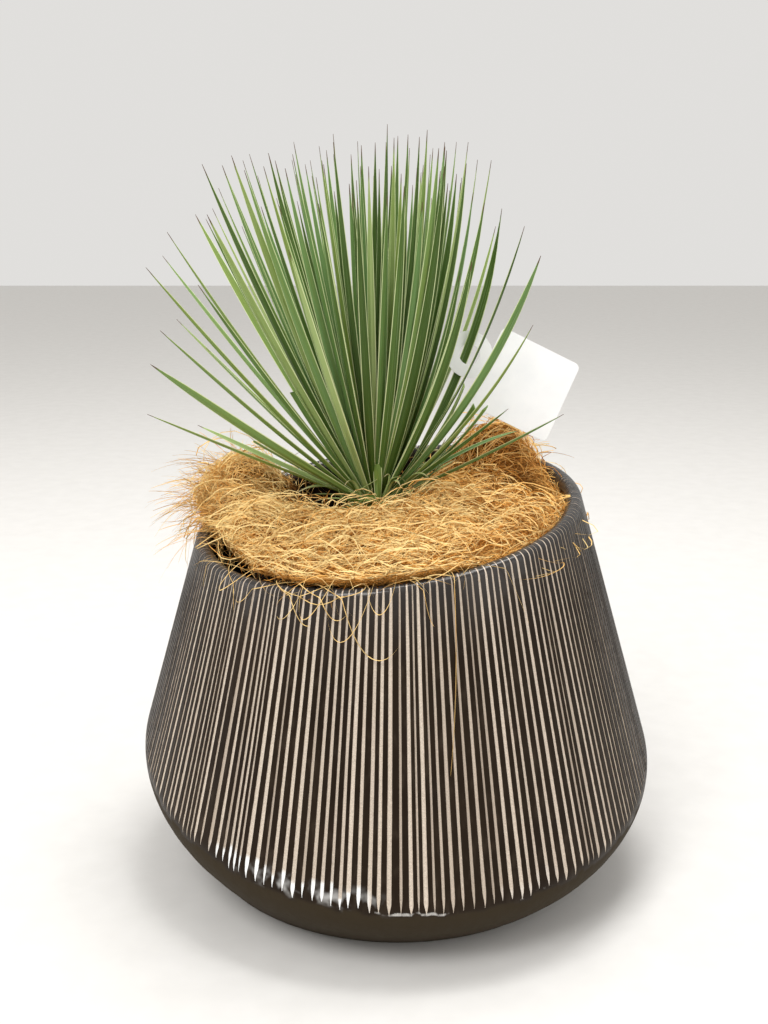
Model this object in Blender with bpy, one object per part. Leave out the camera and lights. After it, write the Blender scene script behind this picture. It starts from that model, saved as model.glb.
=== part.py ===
"""Beaked yucca in a grooved planter, with its grow pot, soil, fibre mulch and label card.

Metres, +Z up. The origin is the centre of the planter's flat foot. The front faces -Y.
"""
import math
import random
from typing import NamedTuple

import bmesh
import bpy
from mathutils import Euler, Vector, noise

CENTIMETRE = 0.01
GAP = 0.0003
CURVE_STEP = 0.01
ROUND_SIDES = 40
ROUND_SHARP = 40.0
GOLDEN_ANGLE = math.pi * (3.0 - math.sqrt(5.0))

# Planter: a cone that narrows upward to a rolled, slanting rim, with a rounded shoulder below
CONE_AXIS = Vector((-0.0019, 0.018, 0.0))
CONE_RADIUS_AT_FLOOR = 0.2692
CONE_NARROWING = 0.293
RIM_HEIGHT = 0.3246
RIM_TILT = (0.113, 0.116)
SHOULDER_HEIGHT = 0.1020
SHOULDER_TILT = (-0.0328, 0.216)
SHOULDER_RISE = 0.024
SHOULDER_DROP = 0.055
SHOULDER_SHARE = 0.94
FOOT_RADIUS = 0.1762
WALL = 0.015
ROLL_RADIUS = WALL / 2
ROLL_DROP = 0.35 * ROLL_RADIUS
ROLL_INSIDE = 180.0
ROLL_INNER_EDGE = 175.0
ROLL_TOP = 90.0
ROLL_OUTER_EDGE = 15.0
INNER_WALL_START = 0.01
PLANTER_SHARP = 30.0
FLOOR_THICKNESS = 0.018
FLOOR_RADIUS = 0.155

# Carved grooves: narrow and wide ridges in random order round the planter
GROOVES = 210
GROOVE_DEPTH = 0.0012
RIDGE_SPREAD = 0.45
GROOVE_SEED = 5
COLUMNS_PER_CELL = 7
GROOVE_END = 0.15
UNDERSIDE_STEPS = (0.4, 0.65, 1.0)

# Grow pot of thin plastic, standing on the planter's floor
GROW_POT_HEIGHT = 0.281
GROW_POT_TOP_RADIUS = 0.135
GROW_POT_BOTTOM_RADIUS = 0.108
GROW_POT_WALL = 0.0016
GROW_POT_LIP = 0.004
GROW_POT_LIP_HEIGHT = 0.014
DRAIN_HOLES = 6
DRAIN_RADIUS = 0.006
DRAIN_RING_RADIUS = 0.085
DRAIN_SIDES = 10

# Soil, with a socket that the stem stands in
SOIL_DEPTH_BELOW_LIP = 0.008
SOIL_DOME = 0.004
SOCKET_DEPTH = 0.032

# Stem and crown, a little left of the planter's axis
CROWN = CONE_AXIS + Vector((-0.0176, 0.0, 0.336))
STEM_RADIUS = 0.016
STEM_SIDES = 20
CROWN_RADIUS = 0.021
CROWN_DEPTH = 0.022
CROWN_SIDES = 12
CROWN_RINGS = ((-1.0, 0.9), (-0.55, 1.0), (0.14, 0.6))
BASE_DROP = 0.010
BASE_DROP_LOST = 0.75
BASE_INNER = 0.1
BASE_SPREAD = 0.6

# Blades
BLADE_WIDTH = 0.0088
BLADE_THICKNESS = 0.0013
BLADE_FOLD = 0.10
BLADE_STATIONS = (0.0, 0.34, 0.68)
CUT_STATIONS = (0.0, 0.5, 1.0)
HOOK_STATIONS = (0.0, 0.2, 0.4, 0.5, 0.6, 0.8)
LONGEST_BLADE = 0.335
BLADE_BOW = 0.045
RIGHT_BOW = 0.28
BLADE_MIDDLE = 0.45
NECK_WIDTH = 0.65
NECK_END = 0.35
POINT_POWER = 7.0
BLADE_CLEARANCE = 0.006
BLADE_LIFT = 0.003
LIFT_TRIES = 12
LIFT_PLACES = 10
LEAF_SEED = 11
WIDTH_SPREAD = (0.85, 1.12)
MOST_DEPTH = 0.55
MOST_TURN = 50.0
FAN_SIDE = (0.5, 1.0)
RIGHT_SIDE = (-0.8, -0.45)
BEHIND_SIDE = (0.7, 0.9)
LOW_TIP = 8.0
LOW_SIDE = -0.35
CUT_SIDE = -0.35

# The point that the leaf tips below are sighted from, in front of the planter
SIGHT = CONE_AXIS + Vector((-0.0094, -1.10, 0.608))

# Places of single leaf tips, in centimetres to the right of the crown and above it, as sighted
LEFT_TIPS = (
    (-20.0, 20.5), (-18.5, 21.5), (-18.0, 23.5), (-15.5, 25.0), (-14.5, 25.0), (-14.0, 25.5),
    (-15.5, 19.0), (-11.5, 24.0), (-13.0, 29.0), (-12.0, 29.0), (-19.0, 15.0), (-17.5, 16.0),
    (-20.0, 12.0), (-20.5, 7.5), (-16.0, 6.5), (-15.0, 13.5), (-7.5, 22.0), (-9.5, 24.0),
)
UPRIGHT_TIPS = (
    (-9.5, 29.0), (-8.5, 29.5), (-7.0, 30.0), (-5.5, 29.5), (-4.5, 29.5), (-3.5, 30.0),
    (-3.5, 31.0), (-2.0, 30.0), (-0.5, 29.0), (0.0, 29.5), (1.0, 31.0), (2.0, 31.5),
    (3.0, 30.5), (4.0, 28.5), (4.5, 32.0), (5.0, 30.5), (5.5, 30.5), (6.0, 31.0), (6.0, 29.0),
    (7.0, 31.0), (8.0, 31.0),
)
RIGHT_TIPS = (
    (10.0, 29.5), (9.5, 26.0), (10.5, 24.0), (13.0, 24.0), (14.5, 21.5), (8.5, 21.0),
    (7.5, 20.0), (7.5, 16.0), (14.0, 15.5), (17.0, 7.5), (12.0, 8.0), (13.0, 6.0),
)

# Those of the right tips whose leaves pass behind the label card's ring
BEHIND_TIPS = ((10.5, 24.0), (7.5, 16.0))

FILL_LEAVES = 74
FILL_LEAN = 27.0
FILL_SPREAD = 0.9
FILL_LENGTHS = (0.82, 0.97)
FILL_SHIFT = -0.035

# Leaves that were cut short: place of the cut end, and how broad the blade is there
CUT_TIPS = ((-11.0, 5.0), (-7.5, 9.5), (9.0, 8.0), (8.0, 10.0), (10.0, 8.0), (0.5, 2.6))
CUT_WIDTH = 0.010
CUT_SHARE = 0.55

# Short curled leaves low on the crown: degrees round it, reach, and height of the end above the crown
CURLED_LEAVES = (
    (172.0, 0.062, 0.010), (186.0, 0.066, 0.014), (205.0, 0.048, 0.014), (228.0, 0.040, 0.016),
    (300.0, 0.045, 0.018), (325.0, 0.058, 0.024), (342.0, 0.062, 0.032), (8.0, 0.064, 0.038),
)
CURLED_WIDTH = 0.0045
CURLED_TURN = 0.3
CURLED_ROOT = (0.7, -0.6)
CURLED_MIDDLE = 0.7
CURLED_ARCH = 0.014

# Label card, hung by its ring on one leaf; it leans back and turns clockwise
CARD_SIDE = (0.080, 0.078)
CARD_THICKNESS = 0.0008
CARD_CORNER = 0.005
CARD_CORNER_STEPS = 4
ROUND_PROFILE = 0.5
CARD_CENTRE = CONE_AXIS + Vector((0.1186, 0.022, 0.4345))
CARD_TURN = math.radians(26.2)
CARD_LEAN = math.radians(17.0)
RING_OUTER = 0.0215
RING_HOLE = 0.0095
RING_CENTRE = (-0.0575, 0.0025)
RING_SIDES = 28
HOOK_TIP = (11.0, 25.5)
HOOK_OFFSET = -0.0035
HOOK_DEPTH = 0.012
HOOK_TURN = 0.5 * math.pi
HOOK_BASE = (0.6, 0.2)

# Mulch: a ring of fibre over the soil, heaped at the left and at the right rear
MULCH_COLUMNS = 60
MULCH_INNER = 0.0228
MULCH_BASE = FLOOR_THICKNESS + GAP + GROW_POT_HEIGHT + GAP
MULCH_RISE = 0.007
MULCH_LEAST = 0.003
MULCH_LEDGE = 0.0008
MULCH_SHARP = 50.0
MULCH_HEAPS = (
    (163.0, 0.152, 0.039, 0.040),
    (198.0, 0.135, 0.050, 0.016),
    (38.0, 0.128, 0.036, 0.036),
    (262.0, 0.095, 0.075, 0.010),
    (6.0, 0.126, 0.017, -0.028),
)
MULCH_LUMP = 0.004
MULCH_LUMP_SIZE = 0.028
MULCH_CLEARANCE = 0.0015
MULCH_WALL_CLEARANCE = 0.00375
MULCH_TOP_STEPS = (0.88, 0.7, 0.5, 0.3, 0.14)
MULCH_REAR_RADIUS = 0.062
REAR_NARROW_ZONE = (100.0, 118.0, 170.0, 190.0)
REAR_NARROWING = 0.026
HOLLOW_ZONE = (148.0, 163.0, 186.0, 204.0)
HOLLOW_REACH = 0.047
MULCH_EDGE_LIFT = 0.004
MULCH_REAR_EDGE = (0.003, 0.005)

# The fibre dips behind the crown, where it leaves the soil bare
REAR_DIP = 0.02
REAR_DIP_BEHIND = (0.0, 0.07)
REAR_DIP_FROM_CROWN = (0.02, 0.10)
REAR_DIP_FADES = (0.085, 0.115)

# How the fibre meets the planter, by degrees round it: where each zone starts, is full, and ends
REAR_GAP = (48.0, 68.0, 136.0, 153.0)
SIDE_GAP = (300.0, 325.0, 10.0, 26.0)
SIDE_GAP_SHARE = 0.03
LEFT_GAP = (181.0, 191.0, 212.0, 230.0)
LEFT_GAP_SHARE = 0.15
LEFT_ZONE = (157.0, 168.0, 171.0, 181.0)
FRONT_ZONE = (229.0, 243.0, 277.0, 298.0)
RIGHT_ZONE = (26.0, 34.0, 38.0, 46.0)
LEAST_OVERHANG = 20.0
LEFT_OVERHANG = 62.0
FRONT_OVERHANG = 70.0
RIGHT_OVERHANG = 50.0
LEAST_SPILL = 0.003
LEFT_SPILL = 0.016

# Single strands
STRAND_RADIUS = 0.0007
STRAND_STEPS = 8
STRAND_SINK = 0.005
STRAND_SIDES = 3
LOOP_LIFT = (0.06, 0.012)
LOOP_REACH = 0.095
LOOP_SPREAD = 0.3
LOOP_SAG = 1.7
WISP_ARCH = 0.02

# Loops of fibre over the rim: degrees where each leaves the mulch and returns, and how far it hangs
LOOPS = ((246.0, 258.0, 0.030), (251.0, 269.0, 0.045), (262.0, 274.0, 0.026), (224.0, 233.0, 0.020))

# Loose ends: degrees, outward reach, rise of the end, and how far it turns sideways
WISPS = (
    (150.0, 0.050, 0.012, 0.020), (160.0, 0.062, -0.004, -0.015), (168.0, 0.070, 0.004, 0.022),
    (176.0, 0.058, -0.010, -0.020), (184.0, 0.066, 0.006, 0.010), (192.0, 0.050, -0.014, -0.012),
    (22.0, 0.050, 0.010, 0.015), (32.0, 0.058, 0.020, -0.014), (42.0, 0.046, 0.028, 0.018),
    (286.0, 0.040, -0.004, 0.030),
)


class Leaf(NamedTuple):
    """One blade: its curve, breadth, turn about its own line, ring places and the share left of it."""
    curve: tuple
    width: float
    turn: float
    stations: tuple = BLADE_STATIONS
    kept: float = 1.0


def direction(angle):
    """Return the level unit vector at an angle from +X."""
    return Vector((math.cos(angle), math.sin(angle), 0.0))


def heading(curve, share):
    """Return the unit vector along a Bezier curve at one share of it."""
    return (bezier(curve, share + CURVE_STEP) - bezier(curve, share - CURVE_STEP)).normalized()


def smoothstep(low, high, value):
    """Return 0 below low, 1 above high and a soft step between."""
    share = min(max((value - low) / (high - low), 0.0), 1.0)
    return share * share * (3.0 - 2.0 * share)


def bezier(points, share):
    """Return the point of a Bezier curve of any degree."""
    points = list(points)
    while len(points) > 1:
        points = [a.lerp(b, share) for a, b in zip(points, points[1:])]
    return points[0]


def zone_share(zone, degrees):
    """Return 1 inside a zone round the planter, 0 outside it and a soft step at both its ends."""
    return smoothstep(zone[0], zone[1], degrees) * (1.0 - smoothstep(zone[2], zone[3], degrees))


def material(name, colour, roughness):
    """Return a plain Principled material."""
    made = bpy.data.materials.new(name)
    made.use_nodes = True
    shader = made.node_tree.nodes["Principled BSDF"]
    shader.inputs["Base Color"].default_value = (*colour, 1.0)
    shader.inputs["Roughness"].default_value = roughness
    return made


def add_object(name, bm, surface, smooth_angle=None, collection=None):
    """Turn a bmesh into a named object with one material."""
    bmesh.ops.recalc_face_normals(bm, faces=bm.faces)
    mesh = bpy.data.meshes.new(name)
    bm.to_mesh(mesh)
    bm.free()
    mesh.materials.append(surface)
    if smooth_angle is not None:
        mesh.shade_smooth()
        mesh.set_sharp_from_angle(angle=math.radians(smooth_angle))
    made = bpy.data.objects.new(name, mesh)
    (collection or bpy.context.scene.collection).objects.link(made)
    return made


def add_ring(bm, points):
    """Add one closed ring of vertices."""
    return [bm.verts.new(point) for point in points]


def join_rings(bm, first, second):
    """Join two rings of the same length with quads."""
    count = len(first)
    for i in range(count):
        j = (i + 1) % count
        bm.faces.new((first[i], first[j], second[j], second[i]))


def loft(bm, rings, closed=False):
    """Join rings of points in order, with flat ends or closed into a torus."""
    made = [add_ring(bm, points) for points in rings]
    for first, second in zip(made, made[1:]):
        join_rings(bm, first, second)
    if closed:
        join_rings(bm, made[-1], made[0])
    else:
        bm.faces.new(made[0])
        bm.faces.new(made[-1])
    return made


def circle(centre, radius, height, count):
    """Return the points of a level circle."""
    turn = 2.0 * math.pi / count
    return [Vector((centre.x, centre.y, height)) + radius * direction(i * turn) for i in range(count)]


def slanted_ring_point(angle, height, tilt):
    """Return a point of the planter's cone on a slanting plane, at an angle round its axis."""
    climb = tilt[0] * math.cos(angle) + tilt[1] * math.sin(angle)
    radius = (CONE_RADIUS_AT_FLOOR - CONE_NARROWING * height) / (1.0 + CONE_NARROWING * climb)
    return CONE_AXIS + radius * direction(angle) + Vector((0.0, 0.0, height + radius * climb))


def planter_section(angle):
    """Return the section of the planter's wall at one angle as a dictionary of vectors."""
    out = (direction(angle) + Vector((0.0, 0.0, CONE_NARROWING))).normalized()
    down = (CONE_NARROWING * direction(angle) - Vector((0.0, 0.0, 1.0))).normalized()
    rim = slanted_ring_point(angle, RIM_HEIGHT, RIM_TILT)
    corner = slanted_ring_point(angle, SHOULDER_HEIGHT, SHOULDER_TILT)
    foot = FOOT_RADIUS * direction(angle)
    under = foot - corner
    drop = min(SHOULDER_DROP / under.length, SHOULDER_SHARE)
    return {
        "out": out,
        "down": down,
        "roll": rim + ROLL_DROP * down - ROLL_RADIUS * out,
        "shoulder": (corner - SHOULDER_RISE * down, corner, corner + drop * under),
        "foot": foot,
    }


def roll_point(section, degrees, radius=ROLL_RADIUS):
    """Return a point round the rolled rim: 0 is outside, 90 on top and 180 inside."""
    angle = math.radians(degrees)
    return section["roll"] + radius * (math.cos(angle) * section["out"] - math.sin(angle) * section["down"])


def groove_columns():
    """Return the angle of each ridge and groove, with ridges of random width between the grooves."""
    draw = random.Random(GROOVE_SEED)
    pitches = [draw.uniform(1.0 - RIDGE_SPREAD, 1.0 + RIDGE_SPREAD) for _ in range(GROOVES)]
    unit = 2.0 * math.pi / sum(pitches)
    angles = []
    angle = 0.0
    for pitch in pitches:
        angles.append((angle, 0.0))
        angles.append((angle + 0.5 * pitch * unit, GROOVE_DEPTH))
        angle += pitch * unit
    return angles


def join_fine_to_coarse(bm, fine, coarse):
    """Join a ring of many vertices to one of few, one cell of the coarse ring at a time."""
    ratio = len(fine) // len(coarse)
    for cell, vertex in enumerate(coarse):
        following = coarse[(cell + 1) % len(coarse)]
        row = [fine[(cell * ratio + i) % len(fine)] for i in range(ratio + 1)]
        half = ratio // 2
        for i in range(ratio):
            bm.faces.new((vertex if i < half else following, row[i + 1], row[i]))
        bm.faces.new((vertex, following, row[half]))


def make_planter(surface):
    """Make the planter: grooved outside, plain underside, plain inside with a flat floor."""
    columns = groove_columns()
    outside = {name: [] for name in ("inner edge", "top", "outer edge", "shoulder", "end")}
    for angle, depth in columns:
        section = planter_section(angle)
        cut = depth * section["out"]
        outside["inner edge"].append(roll_point(section, ROLL_INNER_EDGE))
        outside["top"].append(roll_point(section, ROLL_TOP, ROLL_RADIUS - depth))
        outside["outer edge"].append(roll_point(section, ROLL_OUTER_EDGE, ROLL_RADIUS - depth))
        outside["shoulder"].append(section["shoulder"][0] - cut)
        outside["end"].append(bezier(section["shoulder"], GROOVE_END))
    bm = bmesh.new()
    fine = [add_ring(bm, points) for points in outside.values()]
    for first, second in zip(fine, fine[1:]):
        join_rings(bm, first, second)
    sections = [planter_section(angle) for angle, _ in columns[::COLUMNS_PER_CELL]]
    under = [[bezier(s["shoulder"], step) for s in sections] for step in UNDERSIDE_STEPS]
    under.append([s["foot"] for s in sections])
    under = [add_ring(bm, points) for points in under]
    for first, second in zip(under, under[1:]):
        join_rings(bm, first, second)
    bm.faces.new(under[-1])
    join_fine_to_coarse(bm, fine[-1], under[0])
    floor = Vector((0.0, 0.0, FLOOR_THICKNESS))
    inside = [
        [roll_point(s, ROLL_INSIDE) + INNER_WALL_START * s["down"] for s in sections],
        [s["shoulder"][0] - WALL * s["out"] for s in sections],
        [bezier(s["shoulder"], 0.5) - WALL * (s["out"] + s["down"]).normalized() for s in sections],
        [FLOOR_RADIUS / FOOT_RADIUS * s["foot"] + floor for s in sections],
    ]
    inside = [add_ring(bm, points) for points in inside]
    for first, second in zip(inside, inside[1:]):
        join_rings(bm, first, second)
    bm.faces.new(inside[-1])
    join_fine_to_coarse(bm, fine[0], inside[0])
    return add_object("planter", bm, surface, PLANTER_SHARP)


def grow_pot_radius(height):
    """Return the grow pot's outer radius at a height above its underside."""
    return GROW_POT_BOTTOM_RADIUS + (GROW_POT_TOP_RADIUS - GROW_POT_BOTTOM_RADIUS) * height / GROW_POT_HEIGHT


def make_grow_pot(surface):
    """Make the thin tapered grow pot with a thick lip and drain holes in its floor."""
    bottom = FLOOR_THICKNESS + GAP
    top = bottom + GROW_POT_HEIGHT
    lip = GROW_POT_HEIGHT - GROW_POT_LIP_HEIGHT
    profile = (
        (grow_pot_radius(0.0), bottom),
        (grow_pot_radius(lip), bottom + lip),
        (grow_pot_radius(lip) + GROW_POT_LIP, bottom + lip),
        (GROW_POT_TOP_RADIUS + GROW_POT_LIP, top),
        (GROW_POT_TOP_RADIUS - GROW_POT_WALL, top),
        (grow_pot_radius(GROW_POT_WALL) - GROW_POT_WALL, bottom + GROW_POT_WALL),
    )
    bm = bmesh.new()
    loft(bm, [circle(CONE_AXIS, radius, height, ROUND_SIDES) for radius, height in profile])
    pot = add_object("grow_pot", bm, surface, ROUND_SHARP)
    drills = bmesh.new()
    for i in range(DRAIN_HOLES):
        centre = CONE_AXIS + DRAIN_RING_RADIUS * direction(2.0 * math.pi * i / DRAIN_HOLES)
        heights = (bottom - GROW_POT_WALL, bottom + 2.0 * GROW_POT_WALL)
        loft(drills, [circle(centre, DRAIN_RADIUS, height, DRAIN_SIDES) for height in heights])
    cutter = add_object("drain_hole_cutter", drills, surface)
    cutter.hide_render = True
    cutter.display_type = 'WIRE'
    cut = pot.modifiers.new("drain holes", 'BOOLEAN')
    cut.operation = 'DIFFERENCE'
    cut.object = cutter
    return pot


def soil_top():
    """Return the height of the soil where it meets the grow pot."""
    return FLOOR_THICKNESS + GAP + GROW_POT_HEIGHT - SOIL_DEPTH_BELOW_LIP


def make_soil(surface):
    """Make the soil that fills the grow pot, slightly domed, with the stem's socket."""
    bottom = GROW_POT_WALL + GAP
    fill = GROW_POT_HEIGHT - SOIL_DEPTH_BELOW_LIP
    side_gap = GROW_POT_WALL + 2.0 * GAP
    socket = STEM_RADIUS + GAP
    dome = soil_top() + SOIL_DOME
    base = FLOOR_THICKNESS + GAP
    rings = [
        circle(CONE_AXIS, grow_pot_radius(bottom) - side_gap, base + bottom, ROUND_SIDES),
        circle(CONE_AXIS, grow_pot_radius(fill) - side_gap, soil_top(), ROUND_SIDES),
        circle(CONE_AXIS, 0.5 * GROW_POT_TOP_RADIUS, dome, ROUND_SIDES),
        circle(CROWN, socket, dome, ROUND_SIDES),
        circle(CROWN, socket, dome - SOCKET_DEPTH, ROUND_SIDES),
    ]
    bm = bmesh.new()
    loft(bm, rings)
    return add_object("soil", bm, surface, ROUND_SHARP)


def make_stem(surface):
    """Make the short stem between the soil and the crown of leaf bases."""
    foot = soil_top() + SOIL_DOME - SOCKET_DEPTH + GAP
    head = CROWN.z - CROWN_DEPTH - GAP
    bm = bmesh.new()
    loft(bm, [circle(CROWN, STEM_RADIUS, height, STEM_SIDES) for height in (foot, head)])
    return add_object("stem", bm, surface, ROUND_SHARP)


def sighted(tip, depth):
    """Return the place at a depth behind the crown of a tip sighted in front of or behind it."""
    plane = CROWN + CENTIMETRE * Vector((tip[0], 0.0, tip[1]))
    reach = (CROWN.y + depth - SIGHT.y) / (CROWN.y - SIGHT.y)
    return SIGHT + reach * (plane - SIGHT)


def mulch_top(place):
    """Return the height of the mulch's surface over a level place."""
    away = place - CONE_AXIS
    height = RIM_HEIGHT + RIM_TILT[0] * away.x + RIM_TILT[1] * away.y + MULCH_RISE
    for degrees, radius, spread, rise in MULCH_HEAPS:
        offset = CONE_AXIS + radius * direction(math.radians(degrees)) - place
        height += rise * math.exp(-(offset.x ** 2 + offset.y ** 2) / spread ** 2)
    near = math.hypot(place.x - CROWN.x, place.y - CROWN.y)
    rear = smoothstep(*REAR_DIP_BEHIND, away.y) * smoothstep(*REAR_DIP_FROM_CROWN, near)
    height -= REAR_DIP * rear * (1.0 - smoothstep(*REAR_DIP_FADES, math.hypot(away.x, away.y)))
    height += MULCH_LUMP * noise.noise(place / MULCH_LUMP_SIZE)
    return max(height, MULCH_BASE + MULCH_LEAST)


def blade_curve(tip):
    """Return the three points that bend a blade from the crown to its tip, clear of the mulch."""
    reach = tip - CROWN
    level = Vector((reach.x, reach.y, 0.0))
    lean = min(math.atan2(level.length, reach.z) / (0.5 * math.pi), 1.0)
    outward = level.normalized()
    drop = BASE_DROP * (1.0 - BASE_DROP_LOST * lean)
    base = CROWN + outward * CROWN_RADIUS * (BASE_INNER + BASE_SPREAD * lean) - Vector((0.0, 0.0, drop))
    middle = base.lerp(tip, BLADE_MIDDLE)
    middle += outward * BLADE_BOW * reach.length * math.sin(math.pi * lean)
    middle.x += RIGHT_BOW * max(reach.x, 0.0) * (reach.z / reach.length) ** 2
    return lifted_clear((base, middle, tip))


def lifted_clear(curve):
    """Raise the middle of a blade's curve until the blade is clear of the mulch."""
    base, middle, tip = curve
    shares = [(i + 1) / LIFT_PLACES for i in range(LIFT_PLACES)]
    for _ in range(LIFT_TRIES):
        places = [bezier((base, middle, tip), share) for share in shares]
        over = [place for place in places if (place - CROWN).xy.length > MULCH_INNER]
        if all(place.z > mulch_top(place) + BLADE_CLEARANCE for place in over):
            break
        middle = middle + Vector((0.0, 0.0, BLADE_LIFT))
    return base, middle, tip


def blade_rings(leaf):
    """Return four-cornered rings along a blade: two edges, the channel and the keel."""
    rings = []
    for share in leaf.stations:
        place = bezier(leaf.curve, share)
        along = heading(leaf.curve, share)
        level = Vector((along.x, along.y, 0.0))
        flat_side = Vector((0.0, 0.0, 1.0)).cross(level).normalized()
        flat_face = along.cross(flat_side)
        side = math.cos(leaf.turn) * flat_side + math.sin(leaf.turn) * flat_face
        face = along.cross(side)
        half = 0.5 * leaf.width * blade_width_share(share * leaf.kept)
        edge = 2.0 * half * BLADE_FOLD * face
        rings.append([
            place - half * side + edge,
            place + 0.5 * BLADE_THICKNESS * face,
            place + half * side + edge,
            place - 0.5 * BLADE_THICKNESS * face,
        ])
    return rings


def blade_width_share(share):
    """Return how broad a blade is at a share of its length: narrow neck, broad middle, long point."""
    neck = NECK_WIDTH + (1.0 - NECK_WIDTH) * smoothstep(0.0, NECK_END, share)
    return neck * (1.0 - min(share, 1.0) ** POINT_POWER)


def add_blade(bm, leaf):
    """Add one closed blade with a pointed or a cut end."""
    rings = [add_ring(bm, points) for points in blade_rings(leaf)]
    for first, second in zip(rings, rings[1:]):
        join_rings(bm, first, second)
    bm.faces.new(rings[0])
    if leaf.kept < 1.0:
        bm.faces.new(rings[-1])
        return
    point = bm.verts.new(leaf.curve[2])
    for i in range(4):
        bm.faces.new((rings[-1][i], rings[-1][(i + 1) % 4], point))


def tip_depth(tip, side):
    """Return how far behind the crown a sighted tip lies, so that the leaf has its full length."""
    seen = CENTIMETRE * math.hypot(*tip)
    depth = math.sqrt(max(LONGEST_BLADE ** 2 - seen ** 2, 0.0))
    return side * min(depth, MOST_DEPTH * seen)


def card_place(across, up):
    """Return a place on the card's middle plane in the planter's frame."""
    turn = Euler((0.5 * math.pi - CARD_LEAN, CARD_TURN, 0.0), 'ZXY')
    return CARD_CENTRE + turn.to_matrix() @ Vector((across, up, 0.0))


def hook_curve():
    """Return the curve of the leaf that carries the card, through the card's ring."""
    tip = sighted(HOOK_TIP, HOOK_DEPTH)
    base = CROWN + CROWN_RADIUS * Vector((*HOOK_BASE, 0.0)) - Vector((0.0, 0.0, BASE_DROP))
    through = card_place(RING_CENTRE[0] + HOOK_OFFSET, RING_CENTRE[1])
    middle = 2.0 * through - 0.5 * (base + tip)
    return base, middle, tip


def leaf_list():
    """Return every leaf: those with sighted tips, the cut ones, the fill, the hook and the curled."""
    draw = random.Random(LEAF_SEED)
    leaves = []

    def add(tip, width=BLADE_WIDTH, stations=BLADE_STATIONS, kept=1.0):
        turn = math.radians(draw.uniform(-MOST_TURN, MOST_TURN))
        leaves.append(Leaf(blade_curve(tip), width * draw.uniform(*WIDTH_SPREAD), turn, stations, kept))

    for i, tip in enumerate(LEFT_TIPS + UPRIGHT_TIPS):
        side = (-1.0, 1.0)[i % 2] * draw.uniform(*FAN_SIDE) if tip[1] > LOW_TIP else LOW_SIDE
        add(sighted(tip, tip_depth(tip, side)))
    for tip in RIGHT_TIPS:
        side = BEHIND_SIDE if tip in BEHIND_TIPS else RIGHT_SIDE
        add(sighted(tip, tip_depth(tip, draw.uniform(*side))))
    for tip in CUT_TIPS:
        add(sighted(tip, CUT_SIDE * CENTIMETRE * math.hypot(*tip)), CUT_WIDTH, CUT_STATIONS, CUT_SHARE)
    for i in range(FILL_LEAVES):
        share = (i + 0.5) / FILL_LEAVES
        lean = math.radians(FILL_LEAN) * math.sqrt(share)
        away = FILL_SPREAD * math.sin(lean) * direction(i * GOLDEN_ANGLE)
        length = LONGEST_BLADE * draw.uniform(*FILL_LENGTHS)
        shift = Vector((FILL_SHIFT * share, 0.0, 0.0))
        add(CROWN + shift + length * (away + Vector((0.0, 0.0, math.cos(lean)))))
    leaves.append(Leaf(hook_curve(), BLADE_WIDTH, HOOK_TURN, HOOK_STATIONS))
    up = Vector((0.0, 0.0, 1.0))
    for degrees, reach, rise in CURLED_LEAVES:
        out = direction(math.radians(degrees))
        base = CROWN + CURLED_ROOT[0] * CROWN_RADIUS * out + CURLED_ROOT[1] * CROWN_DEPTH * up
        middle = CROWN + CURLED_MIDDLE * reach * out + (rise + CURLED_ARCH) * up
        curve = (base, middle, CROWN + reach * out + rise * up)
        leaves.append(Leaf(lifted_clear(curve), CURLED_WIDTH, CURLED_TURN))
    return leaves


def make_leaves(surface):
    """Make the rosette: a crown of leaf bases with all blades joined to it."""
    rings = [(width * CROWN_RADIUS, CROWN.z + height * CROWN_DEPTH) for height, width in CROWN_RINGS]
    bm = bmesh.new()
    loft(bm, [circle(CROWN, radius, height, CROWN_SIDES) for radius, height in rings])
    crown = add_object("leaves", bm, surface)
    blades = bpy.data.collections.new("blades")
    bpy.context.scene.collection.children.link(blades)
    for i, leaf in enumerate(leaf_list()):
        bm = bmesh.new()
        add_blade(bm, leaf)
        add_object("blade_%03d" % i, bm, surface, collection=blades)
    return join_collection(crown, blades)


def face_island(start):
    """Return every face that is joined to a face through shared edges."""
    island = {start}
    waiting = [start]
    while waiting:
        for edge in waiting.pop().edges:
            for face in edge.link_faces:
                if face not in island:
                    island.add(face)
                    waiting.append(face)
    return island


def enclosed_volume(faces):
    """Return six times the signed volume inside a closed set of faces."""
    total = 0.0
    for face in faces:
        corners = [vert.co for vert in face.verts]
        for second, third in zip(corners[1:], corners[2:]):
            total += corners[0].dot(second.cross(third))
    return total


def keep_outer_shell(mesh):
    """Keep only the largest closed shell, which fills sealed hollows and drops loose scraps."""
    bm = bmesh.new()
    bm.from_mesh(mesh)
    left = set(bm.faces)
    islands = []
    while left:
        island = face_island(next(iter(left)))
        left -= island
        islands.append(island)
    largest = max(islands, key=enclosed_volume)
    spare = [face for face in bm.faces if face not in largest]
    bmesh.ops.delete(bm, geom=spare, context='FACES')
    bm.to_mesh(mesh)
    bm.free()


def join_collection(body, parts):
    """Join every object of a collection to a body by one Boolean, and remove the collection."""
    join = body.modifiers.new("join", 'BOOLEAN')
    join.operation = 'UNION'
    join.operand_type = 'COLLECTION'
    join.collection = parts
    join.solver = 'MANIFOLD'
    graph = bpy.context.evaluated_depsgraph_get()
    joined = bpy.data.meshes.new_from_object(body.evaluated_get(graph))
    body.modifiers.remove(join)
    keep_outer_shell(joined)
    body.data = joined
    for part in list(parts.objects):
        bpy.data.objects.remove(part)
    bpy.data.collections.remove(parts)
    return body


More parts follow.
